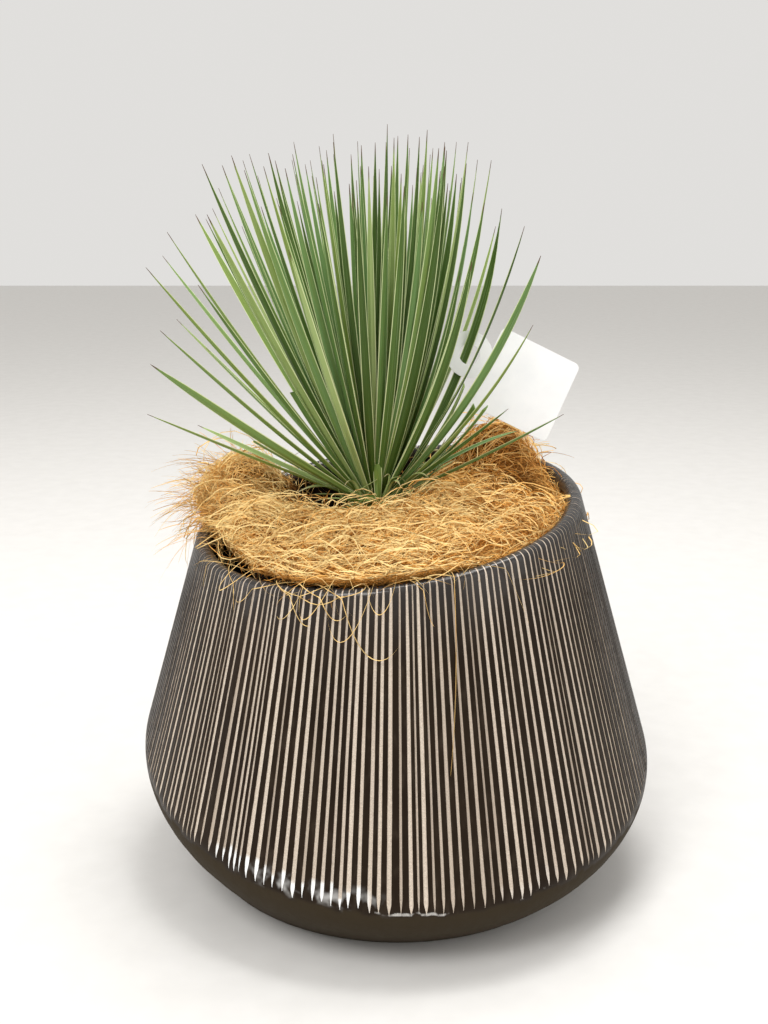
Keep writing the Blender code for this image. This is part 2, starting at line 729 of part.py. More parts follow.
def make_card(surface):
    """Make the blank label card with its ring."""
    bm = bmesh.new()
    bmesh.ops.create_cube(bm, size=1.0)
    bmesh.ops.scale(bm, vec=(*CARD_SIDE, CARD_THICKNESS), verts=bm.verts)
    upright = [edge for edge in bm.edges if edge.verts[0].co.z != edge.verts[1].co.z]
    bmesh.ops.bevel(
        bm, geom=upright, offset=CARD_CORNER, segments=CARD_CORNER_STEPS, profile=ROUND_PROFILE, affect='EDGES'
    )
    card = add_object("label_card", bm, surface)
    for name, radius, thickness, operation in (
        ("ring_guide", RING_OUTER, CARD_THICKNESS, 'UNION'),
        ("ring_hole_cutter", RING_HOLE, 4.0 * CARD_THICKNESS, 'DIFFERENCE'),
    ):
        bm = bmesh.new()
        centre = Vector((*RING_CENTRE, 0.0))
        faces = (-0.5 * thickness, 0.5 * thickness)
        loft(bm, [circle(centre, radius, height, RING_SIDES) for height in faces])
        tool = add_object(name, bm, surface)
        tool.hide_render = True
        tool.display_type = 'WIRE'
        tool.parent = card
        change = card.modifiers.new(name, 'BOOLEAN')
        change.operation = operation
        change.object = tool
    card.location = CARD_CENTRE
    card.rotation_mode = 'ZXY'
    card.rotation_euler = (0.5 * math.pi - CARD_LEAN, CARD_TURN, 0.0)
    return card


def mulch_reach(angle):
    """Return how far the mulch reaches to the planter's wall: 1 all round except at the rear."""
    degrees = math.degrees(angle) % 360.0
    if degrees > 180.0:
        right = 1.0 - SIDE_GAP_SHARE * smoothstep(SIDE_GAP[0], SIDE_GAP[1], degrees)
        return right - LEFT_GAP_SHARE * zone_share(LEFT_GAP, degrees)
    right = 1.0 - SIDE_GAP_SHARE * (1.0 - smoothstep(SIDE_GAP[2], SIDE_GAP[3], degrees))
    return right * (1.0 - zone_share(REAR_GAP, degrees))


def mulch_overhang(angle):
    """Return how far the mulch lies over the rolled rim, as degrees round the roll."""
    degrees = math.degrees(angle) % 360.0
    zones = ((LEFT_ZONE, LEFT_OVERHANG), (FRONT_ZONE, FRONT_OVERHANG), (RIGHT_ZONE, RIGHT_OVERHANG))
    return LEAST_OVERHANG + sum(size * zone_share(zone, degrees) for zone, size in zones)


def mulch_section(angle):
    """Return one closed section of the mulch ring, from its underside round to its inner edge."""
    section = planter_section(angle)
    reach = mulch_reach(angle)
    degrees = math.degrees(angle) % 360.0
    inner_radius = MULCH_INNER + HOLLOW_REACH * zone_share(HOLLOW_ZONE, degrees)
    free_radius = MULCH_REAR_RADIUS - REAR_NARROWING * zone_share(REAR_NARROW_ZONE, degrees)
    inner = Vector((CROWN.x, CROWN.y, 0.0)) + inner_radius * direction(angle)
    free = Vector((CROWN.x, CROWN.y, 0.0)) + free_radius * direction(angle)
    wall = roll_point(section, ROLL_INSIDE, ROLL_RADIUS + MULCH_WALL_CLEARANCE)
    wall += section["down"] * max(wall.z - MULCH_BASE, 0.0)
    turns = [ROLL_INSIDE - mulch_overhang(angle) * k / 3.0 for k in range(4)]
    arc = [roll_point(section, turn, ROLL_RADIUS + MULCH_CLEARANCE) for turn in turns]
    spill = LEAST_SPILL + LEFT_SPILL * zone_share(LEFT_ZONE, degrees)
    edge = arc[-1] + spill * section["out"] + Vector((0.0, 0.0, MULCH_EDGE_LIFT))
    lowest = MULCH_BASE + MULCH_LEAST
    points = [Vector((inner.x, inner.y, MULCH_BASE))]
    points.append(Vector((*free.lerp(wall, reach).xy, MULCH_BASE)))
    for k, place in enumerate(arc):
        place = free.lerp(place, reach)
        place.z = max(place.z, MULCH_BASE + MULCH_LEDGE * (k + 1))
        points.append(place)
    edge = free.lerp(edge, reach) + (1.0 - reach) * MULCH_REAR_EDGE[0] * direction(angle)
    edge.z = max(edge.z, MULCH_BASE + MULCH_REAR_EDGE[1])
    points.append(edge)
    for step in MULCH_TOP_STEPS:
        place = inner.lerp(edge, step)
        place.z = max(mulch_top(place), lowest)
        points.append(place)
    points.append(Vector((inner.x, inner.y, max(mulch_top(inner), lowest))))
    return points


def add_strand(parts, index, curve, surface):
    """Add one thin fibre along a Bezier curve."""
    rings = []
    for k in range(STRAND_STEPS + 1):
        share = k / STRAND_STEPS
        place = bezier(curve, share)
        along = heading(curve, share)
        side = along.orthogonal().normalized()
        face = along.cross(side)
        turns = [2.0 * math.pi * i / STRAND_SIDES for i in range(STRAND_SIDES)]
        rings.append([place + STRAND_RADIUS * (math.cos(a) * side + math.sin(a) * face) for a in turns])
    bm = bmesh.new()
    loft(bm, rings)
    add_object("strand_%02d" % index, bm, surface, collection=parts)


def strand_root(degrees):
    """Return a place inside the mulch near its outer edge, where a strand starts."""
    section = mulch_section(math.radians(degrees))
    place = section[8].copy()
    place.z = mulch_top(place) - STRAND_SINK
    return place


def strand_curves():
    """Return the curves of the loops and of the loose ends."""
    up = Vector((0.0, 0.0, 1.0))
    curves = []
    for first, last, hang in LOOPS:
        start = strand_root(first)
        end = strand_root(last)
        out = direction(math.radians(0.5 * (first + last)))
        lift = LOOP_LIFT[0] * out + LOOP_LIFT[1] * up
        sag = (LOOP_REACH + LOOP_SPREAD * hang) * out - LOOP_SAG * hang * up
        curves.append((start, start + lift, start + sag, end + sag, end + lift, end))
    for degrees, reach, rise, swing in WISPS:
        start = strand_root(degrees)
        out = direction(math.radians(degrees))
        across = Vector((-out.y, out.x, 0.0))
        end = start + reach * out + rise * up + swing * across
        curves.append((start, start + 0.5 * reach * out + WISP_ARCH * up, end))
    return curves


def make_mulch(surface):
    """Make the ring of fibre, with loose strands that leave it and loops that return to it."""
    turns = [2.0 * math.pi * i / MULCH_COLUMNS for i in range(MULCH_COLUMNS)]
    bm = bmesh.new()
    loft(bm, [mulch_section(angle) for angle in turns], closed=True)
    mulch = add_object("mulch", bm, surface, MULCH_SHARP)
    strands = bpy.data.collections.new("strands")
    bpy.context.scene.collection.children.link(strands)
    for index, curve in enumerate(strand_curves()):
        add_strand(strands, index, curve, surface)
    return join_collection(mulch, strands)


def build():
    """Build the whole plant with its planter."""
    for old in list(bpy.data.objects):
        bpy.data.objects.remove(old, do_unlink=True)
    make_planter(material("carved ceramic", (0.045, 0.040, 0.037), 0.55))
    make_grow_pot(material("grow pot plastic", (0.015, 0.015, 0.016), 0.5))
    make_soil(material("potting soil", (0.035, 0.022, 0.014), 0.95))
    make_stem(material("stem bark", (0.16, 0.12, 0.06), 0.85))
    make_leaves(material("leaf", (0.085, 0.17, 0.075), 0.5))
    make_mulch(material("coconut fibre", (0.50, 0.27, 0.10), 0.9))
    make_card(material("card", (0.85, 0.85, 0.83), 0.4))


build()
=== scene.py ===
"""Looks of the beaked yucca in its grooved planter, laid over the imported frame.

Metres, +Z up, front towards -Y, as in the frame. The rules that place the leaves, the fibre and the
planter's wall are those of the part's source, with the same seeds, so each piece stays where its node is.
"""
import math
import random
from typing import NamedTuple

import bmesh
import bpy
import numpy as np
from mathutils import Euler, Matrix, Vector, noise
from mathutils.bvhtree import BVHTree


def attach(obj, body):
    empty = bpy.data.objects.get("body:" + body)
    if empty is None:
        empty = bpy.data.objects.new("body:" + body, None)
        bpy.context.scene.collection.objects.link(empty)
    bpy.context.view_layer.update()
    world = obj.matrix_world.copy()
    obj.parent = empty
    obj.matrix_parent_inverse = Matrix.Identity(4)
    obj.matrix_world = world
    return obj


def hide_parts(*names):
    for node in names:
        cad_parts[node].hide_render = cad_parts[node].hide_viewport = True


class Leaf(NamedTuple):
    """One blade: its curve, breadth, turn about its own line, share left of it, and what leaf it is."""
    curve: tuple
    width: float
    turn: float
    kept: float
    kind: str


class Groove(NamedTuple):
    """One carved groove: its cell's start and width, and how the groove and its tip lie in the cell."""
    start: float
    width: float
    share: float
    begin: float
    end: float
    tip: float
    tip_highlight: float
    tone: float
    bare: float


class Strands(NamedTuple):
    """One kind of loose strand: steps along it, sizes, bends, tufts, tones and how it rises."""
    steps: int
    radius: float
    length: float
    spread: float
    longest: float
    bends: tuple
    sway: float
    tufts: tuple
    tone: tuple
    slopes: tuple
    over: float
    heights: tuple
    arches: tuple
    loose: float
    wave: float


class Zone(NamedTuple):
    """Strands of one piece: degrees it spans, how many, how well they keep to the ring, and how much paler
    or darker its tone is painted, as painted light and shade.
    """
    name: str
    degrees: tuple
    count: int
    order: float
    painted_light: float


class Fuzz(NamedTuple):
    """Free strands of one piece: degrees, how many, reach, looseness, droop and least distance out."""
    name: str
    degrees: tuple
    count: int
    reach: float
    loosely: float
    droop: float
    nearest: float


class Rod(NamedTuple):
    """A straight master rod: the ring and the corner of every vertex, and its triangles."""
    ring: np.ndarray
    corner: np.ndarray
    triangles: np.ndarray


# Units, small steps and the distance within which the seam of a wrapped piece is joined
MILLIMETRE = 0.001
CENTIMETRE = 0.01
GAP = 0.0003
CURVE_STEP = 0.01
MERGE = 0.00001
GOLDEN_ANGLE = math.pi * (3.0 - math.sqrt(5.0))

# Planter: a cone that narrows upward to a rolled, slanting rim, with a rounded shoulder below
CONE_AXIS = Vector((-0.0019, 0.018, 0.0))
CONE_RADIUS_AT_FLOOR = 0.2692
CONE_NARROWING = 0.293
RIM_HEIGHT = 0.3246
RIM_TILT = (0.113, 0.116)
SHOULDER_HEIGHT = 0.1020
SHOULDER_TILT = (-0.0328, 0.216)
SHOULDER_RISE = 0.024
SHOULDER_DROP = 0.055
SHOULDER_SHARE = 0.94
FOOT_RADIUS = 0.1762
WALL = 0.015
ROLL_RADIUS = WALL / 2
ROLL_DROP = 0.35 * ROLL_RADIUS
ROLL_INSIDE = 180.0
INNER_WALL_START = 0.01
FLOOR_THICKNESS = 0.018
FLOOR_RADIUS = 0.155

# Carved grooves: narrow and wide ridges in random order round the planter
GROOVES = 210
GROOVE_DEPTH = 0.0012
RIDGE_SPREAD = 0.45
GROOVE_SEED = 5
GROOVE_END = 0.15

# Grow pot on the planter's floor; the fibre starts at its top
GROW_POT_HEIGHT = 0.281

# Crown of the plant, a little left of the planter's axis
CROWN = CONE_AXIS + Vector((-0.0176, 0.0, 0.336))
CROWN_RADIUS = 0.021
CROWN_DEPTH = 0.022
BASE_DROP = 0.010
BASE_DROP_LOST = 0.75
BASE_INNER = 0.1
BASE_SPREAD = 0.6

# Blades
BLADE_WIDTH = 0.0088
BLADE_THICKNESS = 0.0013
LONGEST_BLADE = 0.335
BLADE_BOW = 0.045
RIGHT_BOW = 0.28
BLADE_MIDDLE = 0.45
NECK_WIDTH = 0.65
NECK_END = 0.35
BLADE_CLEARANCE = 0.006
BLADE_LIFT = 0.003
LIFT_TRIES = 12
LIFT_PLACES = 10
LEAF_SEED = 11
WIDTH_SPREAD = (0.85, 1.12)
MOST_DEPTH = 0.55
MOST_TURN = 50.0
FAN_SIDE = (0.5, 1.0)
RIGHT_SIDE = (-0.8, -0.45)
BEHIND_SIDE = (0.7, 0.9)
LOW_TIP = 8.0
LOW_SIDE = -0.35
CUT_SIDE = -0.35

# The point that the leaf tips below are sighted from, in front of the planter
SIGHT = CONE_AXIS + Vector((-0.0094, -1.10, 0.608))

# Places of single leaf tips, in centimetres to the right of the crown and above it, as sighted
LEFT_TIPS = (
    (-20.0, 20.5), (-18.5, 21.5), (-18.0, 23.5), (-15.5, 25.0), (-14.5, 25.0), (-14.0, 25.5),
    (-15.5, 19.0), (-11.5, 24.0), (-13.0, 29.0), (-12.0, 29.0), (-19.0, 15.0), (-17.5, 16.0),
    (-20.0, 12.0), (-20.5, 7.5), (-16.0, 6.5), (-15.0, 13.5), (-7.5, 22.0), (-9.5, 24.0),
)
UPRIGHT_TIPS = (
    (-9.5, 29.0), (-8.5, 29.5), (-7.0, 30.0), (-5.5, 29.5), (-4.5, 29.5), (-3.5, 30.0),
    (-3.5, 31.0), (-2.0, 30.0), (-0.5, 29.0), (0.0, 29.5), (1.0, 31.0), (2.0, 31.5),
    (3.0, 30.5), (4.0, 28.5), (4.5, 32.0), (5.0, 30.5), (5.5, 30.5), (6.0, 31.0), (6.0, 29.0),
    (7.0, 31.0), (8.0, 31.0),
)
RIGHT_TIPS = (
    (10.0, 29.5), (9.5, 26.0), (10.5, 24.0), (13.0, 24.0), (14.5, 21.5), (8.5, 21.0),
    (7.5, 20.0), (7.5, 16.0), (14.0, 15.5), (17.0, 7.5), (12.0, 8.0), (13.0, 6.0),
)

# Those of the right tips whose leaves pass behind the label card's ring
BEHIND_TIPS = ((10.5, 24.0), (7.5, 16.0))

FILL_LEAVES = 74
FILL_LEAN = 27.0
FILL_SPREAD = 0.9
FILL_LENGTHS = (0.82, 0.97)
FILL_SHIFT = -0.035

# Leaves that were cut short: place of the cut end, and how broad the blade is there
CUT_TIPS = ((-11.0, 5.0), (-7.5, 9.5), (9.0, 8.0), (8.0, 10.0), (10.0, 8.0), (0.5, 2.6))
CUT_WIDTH = 0.010
CUT_SHARE = 0.55

# Short curled leaves low on the crown: degrees round it, reach, and height of the end above the crown
CURLED_LEAVES = (
    (172.0, 0.062, 0.010), (186.0, 0.066, 0.014), (205.0, 0.048, 0.014), (228.0, 0.040, 0.016),
    (300.0, 0.045, 0.018), (325.0, 0.058, 0.024), (342.0, 0.062, 0.032), (8.0, 0.064, 0.038),
)
CURLED_WIDTH = 0.0045
CURLED_TURN = 0.3
CURLED_ROOT = (0.7, -0.6)
CURLED_MIDDLE = 0.7
CURLED_ARCH = 0.014

# Label card, hung by its ring on one leaf; it leans back and turns clockwise
CARD_CENTRE = CONE_AXIS + Vector((0.1186, 0.022, 0.4345))
CARD_TURN = math.radians(26.2)
CARD_LEAN = math.radians(17.0)
RING_CENTRE = (-0.0575, 0.0025)
HOOK_TIP = (11.0, 25.5)
HOOK_OFFSET = -0.0035
HOOK_DEPTH = 0.012
HOOK_TURN = 0.5 * math.pi
HOOK_BASE = (0.6, 0.2)

# Mulch: a ring of fibre over the soil, heaped at the left and at the right rear
MULCH_INNER = 0.0228
MULCH_ARC_STEPS = 3
MULCH_BASE = FLOOR_THICKNESS + GAP + GROW_POT_HEIGHT + GAP
MULCH_RISE = 0.007
MULCH_LEAST = 0.003
MULCH_LEDGE = 0.0008
MULCH_HEAPS = (
    (163.0, 0.152, 0.039, 0.040),
    (198.0, 0.135, 0.050, 0.016),
    (38.0, 0.128, 0.036, 0.036),
    (262.0, 0.095, 0.075, 0.010),
    (6.0, 0.126, 0.017, -0.028),
)
MULCH_LUMP = 0.004
MULCH_LUMP_SIZE = 0.028
MULCH_CLEARANCE = 0.0015
MULCH_WALL_CLEARANCE = 0.00375
MULCH_REAR_RADIUS = 0.062
REAR_NARROW_ZONE = (100.0, 118.0, 170.0, 190.0)
REAR_NARROWING = 0.026
HOLLOW_ZONE = (148.0, 163.0, 186.0, 204.0)
HOLLOW_REACH = 0.047
MULCH_EDGE_LIFT = 0.004
MULCH_REAR_EDGE = (0.003, 0.005)

# The fibre dips behind the crown, where it leaves the soil bare
REAR_DIP = 0.02
REAR_DIP_BEHIND = (0.0, 0.07)
REAR_DIP_FROM_CROWN = (0.02, 0.10)
REAR_DIP_FADES = (0.085, 0.115)

# How the fibre meets the planter, by degrees round it: where each zone starts, is full, and ends
REAR_GAP = (48.0, 68.0, 136.0, 153.0)
SIDE_GAP = (300.0, 325.0, 10.0, 26.0)
SIDE_GAP_SHARE = 0.03
LEFT_GAP = (181.0, 191.0, 212.0, 230.0)
LEFT_GAP_SHARE = 0.15
LEFT_ZONE = (157.0, 168.0, 171.0, 181.0)
FRONT_ZONE = (229.0, 243.0, 277.0, 298.0)
RIGHT_ZONE = (26.0, 34.0, 38.0, 46.0)
LEAST_OVERHANG = 20.0
LEFT_OVERHANG = 62.0
FRONT_OVERHANG = 70.0
RIGHT_OVERHANG = 50.0
LEAST_SPILL = 0.003
LEFT_SPILL = 0.016

# Single long strands: they start between the outer edge of a section of the mulch and its inner edge
STRAND_SINK = 0.005
OUTER_EDGE_PLACE = 6
STRAND_ROOT_SHARE = 0.3
LOOP_LIFT = (0.06, 0.012)
LOOP_REACH = 0.095
LOOP_SPREAD = 0.3
LOOP_SAG = 1.7
WISP_ARCH = 0.02

# Loops of fibre over the rim: degrees where each leaves the mulch and returns, and how far it hangs
LOOPS = ((246.0, 258.0, 0.030), (251.0, 269.0, 0.045), (262.0, 274.0, 0.026), (224.0, 233.0, 0.020))

# Loose ends: degrees, outward reach, rise of the end, and how far it turns sideways
WISPS = (
    (150.0, 0.050, 0.012, 0.020), (160.0, 0.062, -0.004, -0.015), (168.0, 0.070, 0.004, 0.022),
    (176.0, 0.058, -0.010, -0.020), (184.0, 0.066, 0.006, 0.010), (192.0, 0.050, -0.014, -0.012),
    (22.0, 0.050, 0.010, 0.015), (32.0, 0.058, 0.020, -0.014), (42.0, 0.046, 0.028, 0.018),
    (286.0, 0.040, -0.004, 0.030),
)

# Grooves as dressed; a travel of 0 to 1 is over the roll, 1 to 2 down the wall and 2 to 3 round the shoulder
GROOVE_LOOK_SEED = 21
STRIPE_SHARES = (0.30, 0.56)
STRIPE_POWER = 0.6
WIDEST_STRIPE = 0.62
STRIPE_SIDE = 0.22
STRIPE_WAVER = 0.0011
STRIPE_WAVER_LENGTH = 0.35
STRIPE_UNEVEN = 0.10
UNEVEN_NOISE = (7.3, 9.0, 3.0)
WAVER_NOISE = 5.1
GROOVE_START = (0.36, 0.47)
GROOVE_FADE = (0.08, 0.04)
GROOVE_SIDE_DEPTH = 0.9
LATE_START = (226.0, 240.0, 284.0, 298.0)
LATE_BY = (0.14, 0.30)
ROLL_NARROWING = 0.45
ROLL_TO_WALL = (0.85, 1.15)
GROOVE_END_SPREAD = 0.045
ROLL_ROWS = 13
WALL_TRAVELS = (
    0.05, 0.1, 0.15, 0.2, 0.25, 0.3, 0.35, 0.4, 0.45, 0.5, 0.55, 0.6, 0.65, 0.7, 0.75, 0.8, 0.85,
    0.89, 0.92, 0.945, 0.965, 0.985,
)
SHOULDER_TRAVELS = (
    0.0, 0.02, 0.04, 0.06, 0.08, 0.10, 0.12, 0.14, 0.16, 0.18, 0.20, 0.22, 0.26, 0.32, 0.40,
    0.50, 0.62, 0.78, 1.0,
)

# Where the rim's gloss and its painted sheen fade and the plain underside begins, and the rows inside and
# below the grooves
RIM_FADE = (0.85, 1.25)
UNDER_FADE = (0.01, 0.10)
INNER_WALL_ROWS = (5.0, 1.0)
BELOW_SHARES = (0.5, 0.9)
FOOT_EDGE = 0.985
PLANTER_SMOOTH = 40.0

# The pencil-like tips of the grooves, in metres along the wall
WALL_LENGTH = 0.22
TIP_LENGTH = (0.006, 0.013)
TIP_NARROWEST = 0.10
TIP_POWER = 0.8

# Painted highlight at the tips of the grooves, white where the shoulder catches the light: degrees round the
# planter where it starts, is full and ends
HIGHLIGHT_STRONG = (227.0, 238.0, 263.0, 267.0)
HIGHLIGHT_ARC = (262.0, 267.0, 279.0, 289.0)
HIGHLIGHT_RIGHT = (286.0, 291.0, 300.0, 306.0)
HIGHLIGHT_LENGTHS = (0.010, 0.024)
# Painted glow of the same highlight on the ridges near the tips: degrees round the planter, and its reach in
# metres
RIDGE_GLOW = (235.0, 246.0, 264.0, 270.0)
RIDGE_GLOW_REACH = (0.004, 0.020)

# Strength of the painted highlight at the right and in the painted highlight line below the tips, and its
# ends in metres above a tip
RIGHT_HIGHLIGHT = 0.35
ARC_LINE = 0.62
RIGHT_LINE = 0.5
HIGHLIGHT_START = 0.6
HIGHLIGHT_END = (-0.002, 0.0)
HIGHLIGHT_LINE = (-0.004, -0.001, 0.0, 0.004)
RIDGE_GLOW_END = (-0.003, 0.002)

# Blades as dressed: corners round one, and how it narrows, folds, twists and thins
BLADE_SEGMENTS = 22
BLADE_CORNERS = (
    (1.0, 1.0, 0.0), (0.5, 0.40, 0.75), (0.0, 0.0, 1.0), (-0.5, 0.40, 0.75),
    (-1.0, 1.0, 0.0), (-0.5, 0.40, -0.75), (0.0, 0.0, -1.0), (0.5, 0.40, -0.75),
)
LOOK_WIDTH = 0.93
LOOK_FOLD = 0.17
LOOK_SEED = 31
BLADE_TWIST = 0.5
CUT_SLANT = 0.5
THINNEST_HALF = 0.0002
TIP_THICKNESS = 0.3
LEAF_SMOOTH = 24.0

# For each kind of leaf, how short its point is, and the middle and spread of its tone
POINT_POWERS = {
    "left": 7.0, "upright": 4.5, "right": 6.0, "cut": 7.0, "fill": 4.5, "curled": 4.0, "young": 3.5,
    "stub": 7.0,
}
LEAF_TONES = {
    "left": (0.58, 0.30), "upright": (0.42, 0.32), "right": (0.42, 0.30), "cut": (0.55, 0.25),
    "fill": (0.36, 0.32), "curled": (0.5, 0.3),
}

# Small leaves at the crown's foot: three places in millimetres from the crown, breadth and share left
YOUNG_LEAVES = (
    (((-22, -10, 2), (-50, -14, 20), (-72, -12, 4)), 0.0050, 1.0),
    (((-20, -12, 0), (-42, -14, 7), (-62, -10, 2)), 0.0032, 1.0),
    (((-20, -14, -3), (-38, -18, 5), (-56, -14, -3)), 0.0030, 1.0),
    (((-12, -18, 2), (-24, -19, 9), (-36, -16, 14)), 0.0022, 1.0),
    (((-20, -19, 6), (-10, -21, 12), (2, -22, 20)), 0.0020, 1.0),
    (((-14, -20, -2), (-4, -22, 8), (-2, -23, 12)), 0.0020, 1.0),
    (((7, -17, 0), (14, -20, 34), (30, -18, 14)), 0.0018, 1.0),
    (((8, -17, 2), (18, -20, 32), (8, -22, 22)), 0.0018, 1.0),
    (((14, -18, 0), (28, -20, 4), (44, -20, 16)), 0.0024, 1.0),
    (((45, -6, 8), (50, -10, 58), (19, -12, 44)), 0.0024, 1.0),
    (((16, -14, 0), (50, -10, 22), (64, -4, 54)), 0.0072, 1.0),
    (((18, -16, -2), (44, -14, 14), (70, -10, 40)), 0.0036, 1.0),
    (((20, -12, 0), (56, -8, 26), (74, -2, 34)), 0.0044, 1.0),
    (((24, -8, 4), (40, -6, 30), (60, 0, 62)), 0.0030, 1.0),
)
YOUNG_TURN = 0.3
YOUNG_TWIST = 0.4

# Stubs of leaves cut close to the crown, given in the same way
STUBS = (
    (((3, -17, -4), (3, -20, 14), (2, -22, 34)), 0.0084, 0.5),
    (((-24, -13, -8), (-30, -15, 0), (-34, -16, 11)), 0.0062, 0.5),
    (((2, -17, -2), (-12, -23, -3), (-30, -27, -6)), 0.0080, 0.8),
    (((-6, -17, -2), (-16, -21, 0), (-30, -20, 2)), 0.0060, 0.7),
)
STUB_TONES = (0.66, 0.80)

# Crown of leaf bases: height and breadth of each ring, its ribs, and how it is toned as a leaf
CROWN_PROFILE = ((-1.0, 0.86), (-0.85, 0.95), (-0.5, 1.0), (-0.2, 0.92), (0.05, 0.78), (0.18, 0.5))
CROWN_COLUMNS = 72
CROWN_RIBS = 12.0
CROWN_RIB = 0.05
CROWN_RIB_TURN = 3.0
CROWN_ACROSS = 0.7
CROWN_ALONG = 0.06
CROWN_TONE = 0.75
CROWN_SMOOTH = 60.0

# Packed bed of fibre, a little below the solid's own surface
BED_COLUMNS = 240
BED_STEPS = 26
BED_EDGE_STEPS = 3.0
# Rows of the bed, counted from its underside, up to which the painted light on its outer edge is full and
# where it ends
BED_EDGE_ROWS = (7, 11)
BED_SINK = 0.0025
BED_LUMP = 0.005
BED_LUMP_SIZE = 0.014
BED_SMOOTH = 60.0
CROWN_DIP = 0.006
CROWN_DIP_REACH = (0.024, 0.055)

# Hollows in the fibre, painted near black as painted shade and with fewer strands: degrees round the
# planter, distance from its axis, and size
HOLLOW_PLACES = ((4.0, 0.127, 0.020), (184.0, 0.062, 0.030), (166.0, 0.070, 0.034), (148.0, 0.080, 0.038))
BARE_LOSS = 2.5

# The smooth rim and upper wall that strands may lie on
GUIDE_COLUMNS = 180
GUIDE_TRAVELS = (0.0, 0.15, 0.3, 0.45, 0.6, 0.75, 0.9, 1.0, 1.2, 1.4, 1.7, 1.99)

# How far past the rim strands may lie, by degrees round it, and how many of those beyond are left out
HEAP_OVER_RIM = (150.0, 160.0, 174.0, 188.0)
TUFTS_OVER_RIM = (230.0, 238.0, 254.0, 263.0)
SPILLS = ((HEAP_OVER_RIM, 0.03), (FRONT_ZONE, 0.008), (TUFTS_OVER_RIM, 0.006))
RIM_CLEARANCE = 0.002
RIM_KEPT = (100.0, 120.0, 280.0, 300.0)
RIM_REACH = 0.012
RIM_SLACK = 0.001
RIM_LOSS = 0.93

# Loose strands: how they flow over the bed, bend and gather in tufts
FIBRE_SEED = 71
STRAND_CORNERS = ((1.0, 0.0, 0.0), (-0.5, 0.866, 0.0), (-0.5, -0.866, 0.0))
FLOW_TURN = 2.6
FLOW_SIZE = 0.045
FLOW_SPREAD = (0.42, 1.6)
ORDER_RADII = (0.09, 0.155)
GENTLE_SHARE = 0.7
SWAY_RATE = 60.0
SMOOTHINGS = 2
TUFT_SPREAD = 0.004
TUFT_TURN = 0.22
TUFT_BEND = 12.0
TUFT_TONE = 0.08
BED_FOOT = 0.001
UNDERSIDE = -0.2

# How strands rise: low near the crown, arched in the middle and sunk at their ends
CALM_REACH = (0.030, 0.065)
LEAST_RISE = 0.1
HIGHEST_ARCH = 2.5
ARCH_LEANS = (0.6, 1.7)
WAVES = (2.0, 11.0)
WAVE_PHASES = (0.0, 6.3)
END_SINK = 0.004
STRAND_TAPER = 0.6
STRAND_SIZES = (0.7, 1.2)
# Strands lower than this are darkened as painted shade
FIBRE_SHADE_HEIGHT = 0.0032

# The kinds of loose strands: a short layer, one along the steep edges and a long one on top
ANY_SLOPE = (-0.5, 1.01)
SHORT_STRANDS = Strands(
    steps=9, radius=0.00036, length=0.050, spread=0.42, longest=0.11,
    bends=(32.0, 80.0), sway=24.0, tufts=(1, 1, 1, 2, 3, 6), tone=(0.40, 0.13), slopes=ANY_SLOPE, over=0.0,
    heights=(-0.0014, 0.0034), arches=(0.0018, 0.0085), loose=0.18, wave=0.0018,
)
# Edge strands are pale, and their tone is raised further as painted light on the shaded steep edge
EDGE_STRANDS = Strands(
    steps=10, radius=0.00050, length=0.060, spread=0.40, longest=0.13,
    bends=(8.0, 26.0), sway=16.0, tufts=(1, 1, 2, 3), tone=(0.88, 0.18), slopes=(-0.6, 0.5), over=0.010,
    heights=(0.0018, 0.0050), arches=(0.0015, 0.0040), loose=0.15, wave=0.0012,
)
LONG_STRANDS = Strands(
    steps=17, radius=0.00052, length=0.110, spread=0.38, longest=0.20,
    bends=(24.0, 62.0), sway=26.0, tufts=(1, 1, 1, 2), tone=(0.95, 0.12), slopes=ANY_SLOPE, over=0.0,
    heights=(0.0030, 0.0060), arches=(0.0035, 0.0120), loose=0.50, wave=0.0034,
)

# The pieces that the loose strands are laid in, in degrees round the planter; their last number shifts the
# tone as painted light and shade, paler on the left and darker on the right
FIBRE_ZONES = (
    Zone("fibre_left", (112.0, 205.0), 1850, 0.2, 0.42),
    Zone("fibre_front_left", (205.0, 256.0), 1350, 0.4, 0.02),
    Zone("fibre_front_right", (256.0, 312.0), 1350, 0.4, 0.02),
    Zone("fibre_right", (312.0, 70.0), 1850, 0.3, -0.09),
)
EDGE_ZONES = (
    Zone("edge_fibre_left", (128.0, 230.0), 420, 0.7, 0.15),
    Zone("edge_fibre_front", (222.0, 322.0), 880, 0.98, 0.05),
    Zone("edge_fibre_right", (318.0, 60.0), 420, 0.8, -0.10),
)
TOP_ZONES = (
    Zone("long_fibre_left", (125.0, 225.0), 560, 0.2, 0.05),
    Zone("long_fibre_front", (225.0, 318.0), 800, 0.30, 0.0),
    Zone("long_fibre_right", (318.0, 62.0), 460, 0.2, -0.16),
)
STRAND_LAYERS = ((SHORT_STRANDS, FIBRE_ZONES), (EDGE_STRANDS, EDGE_ZONES), (LONG_STRANDS, TOP_ZONES))

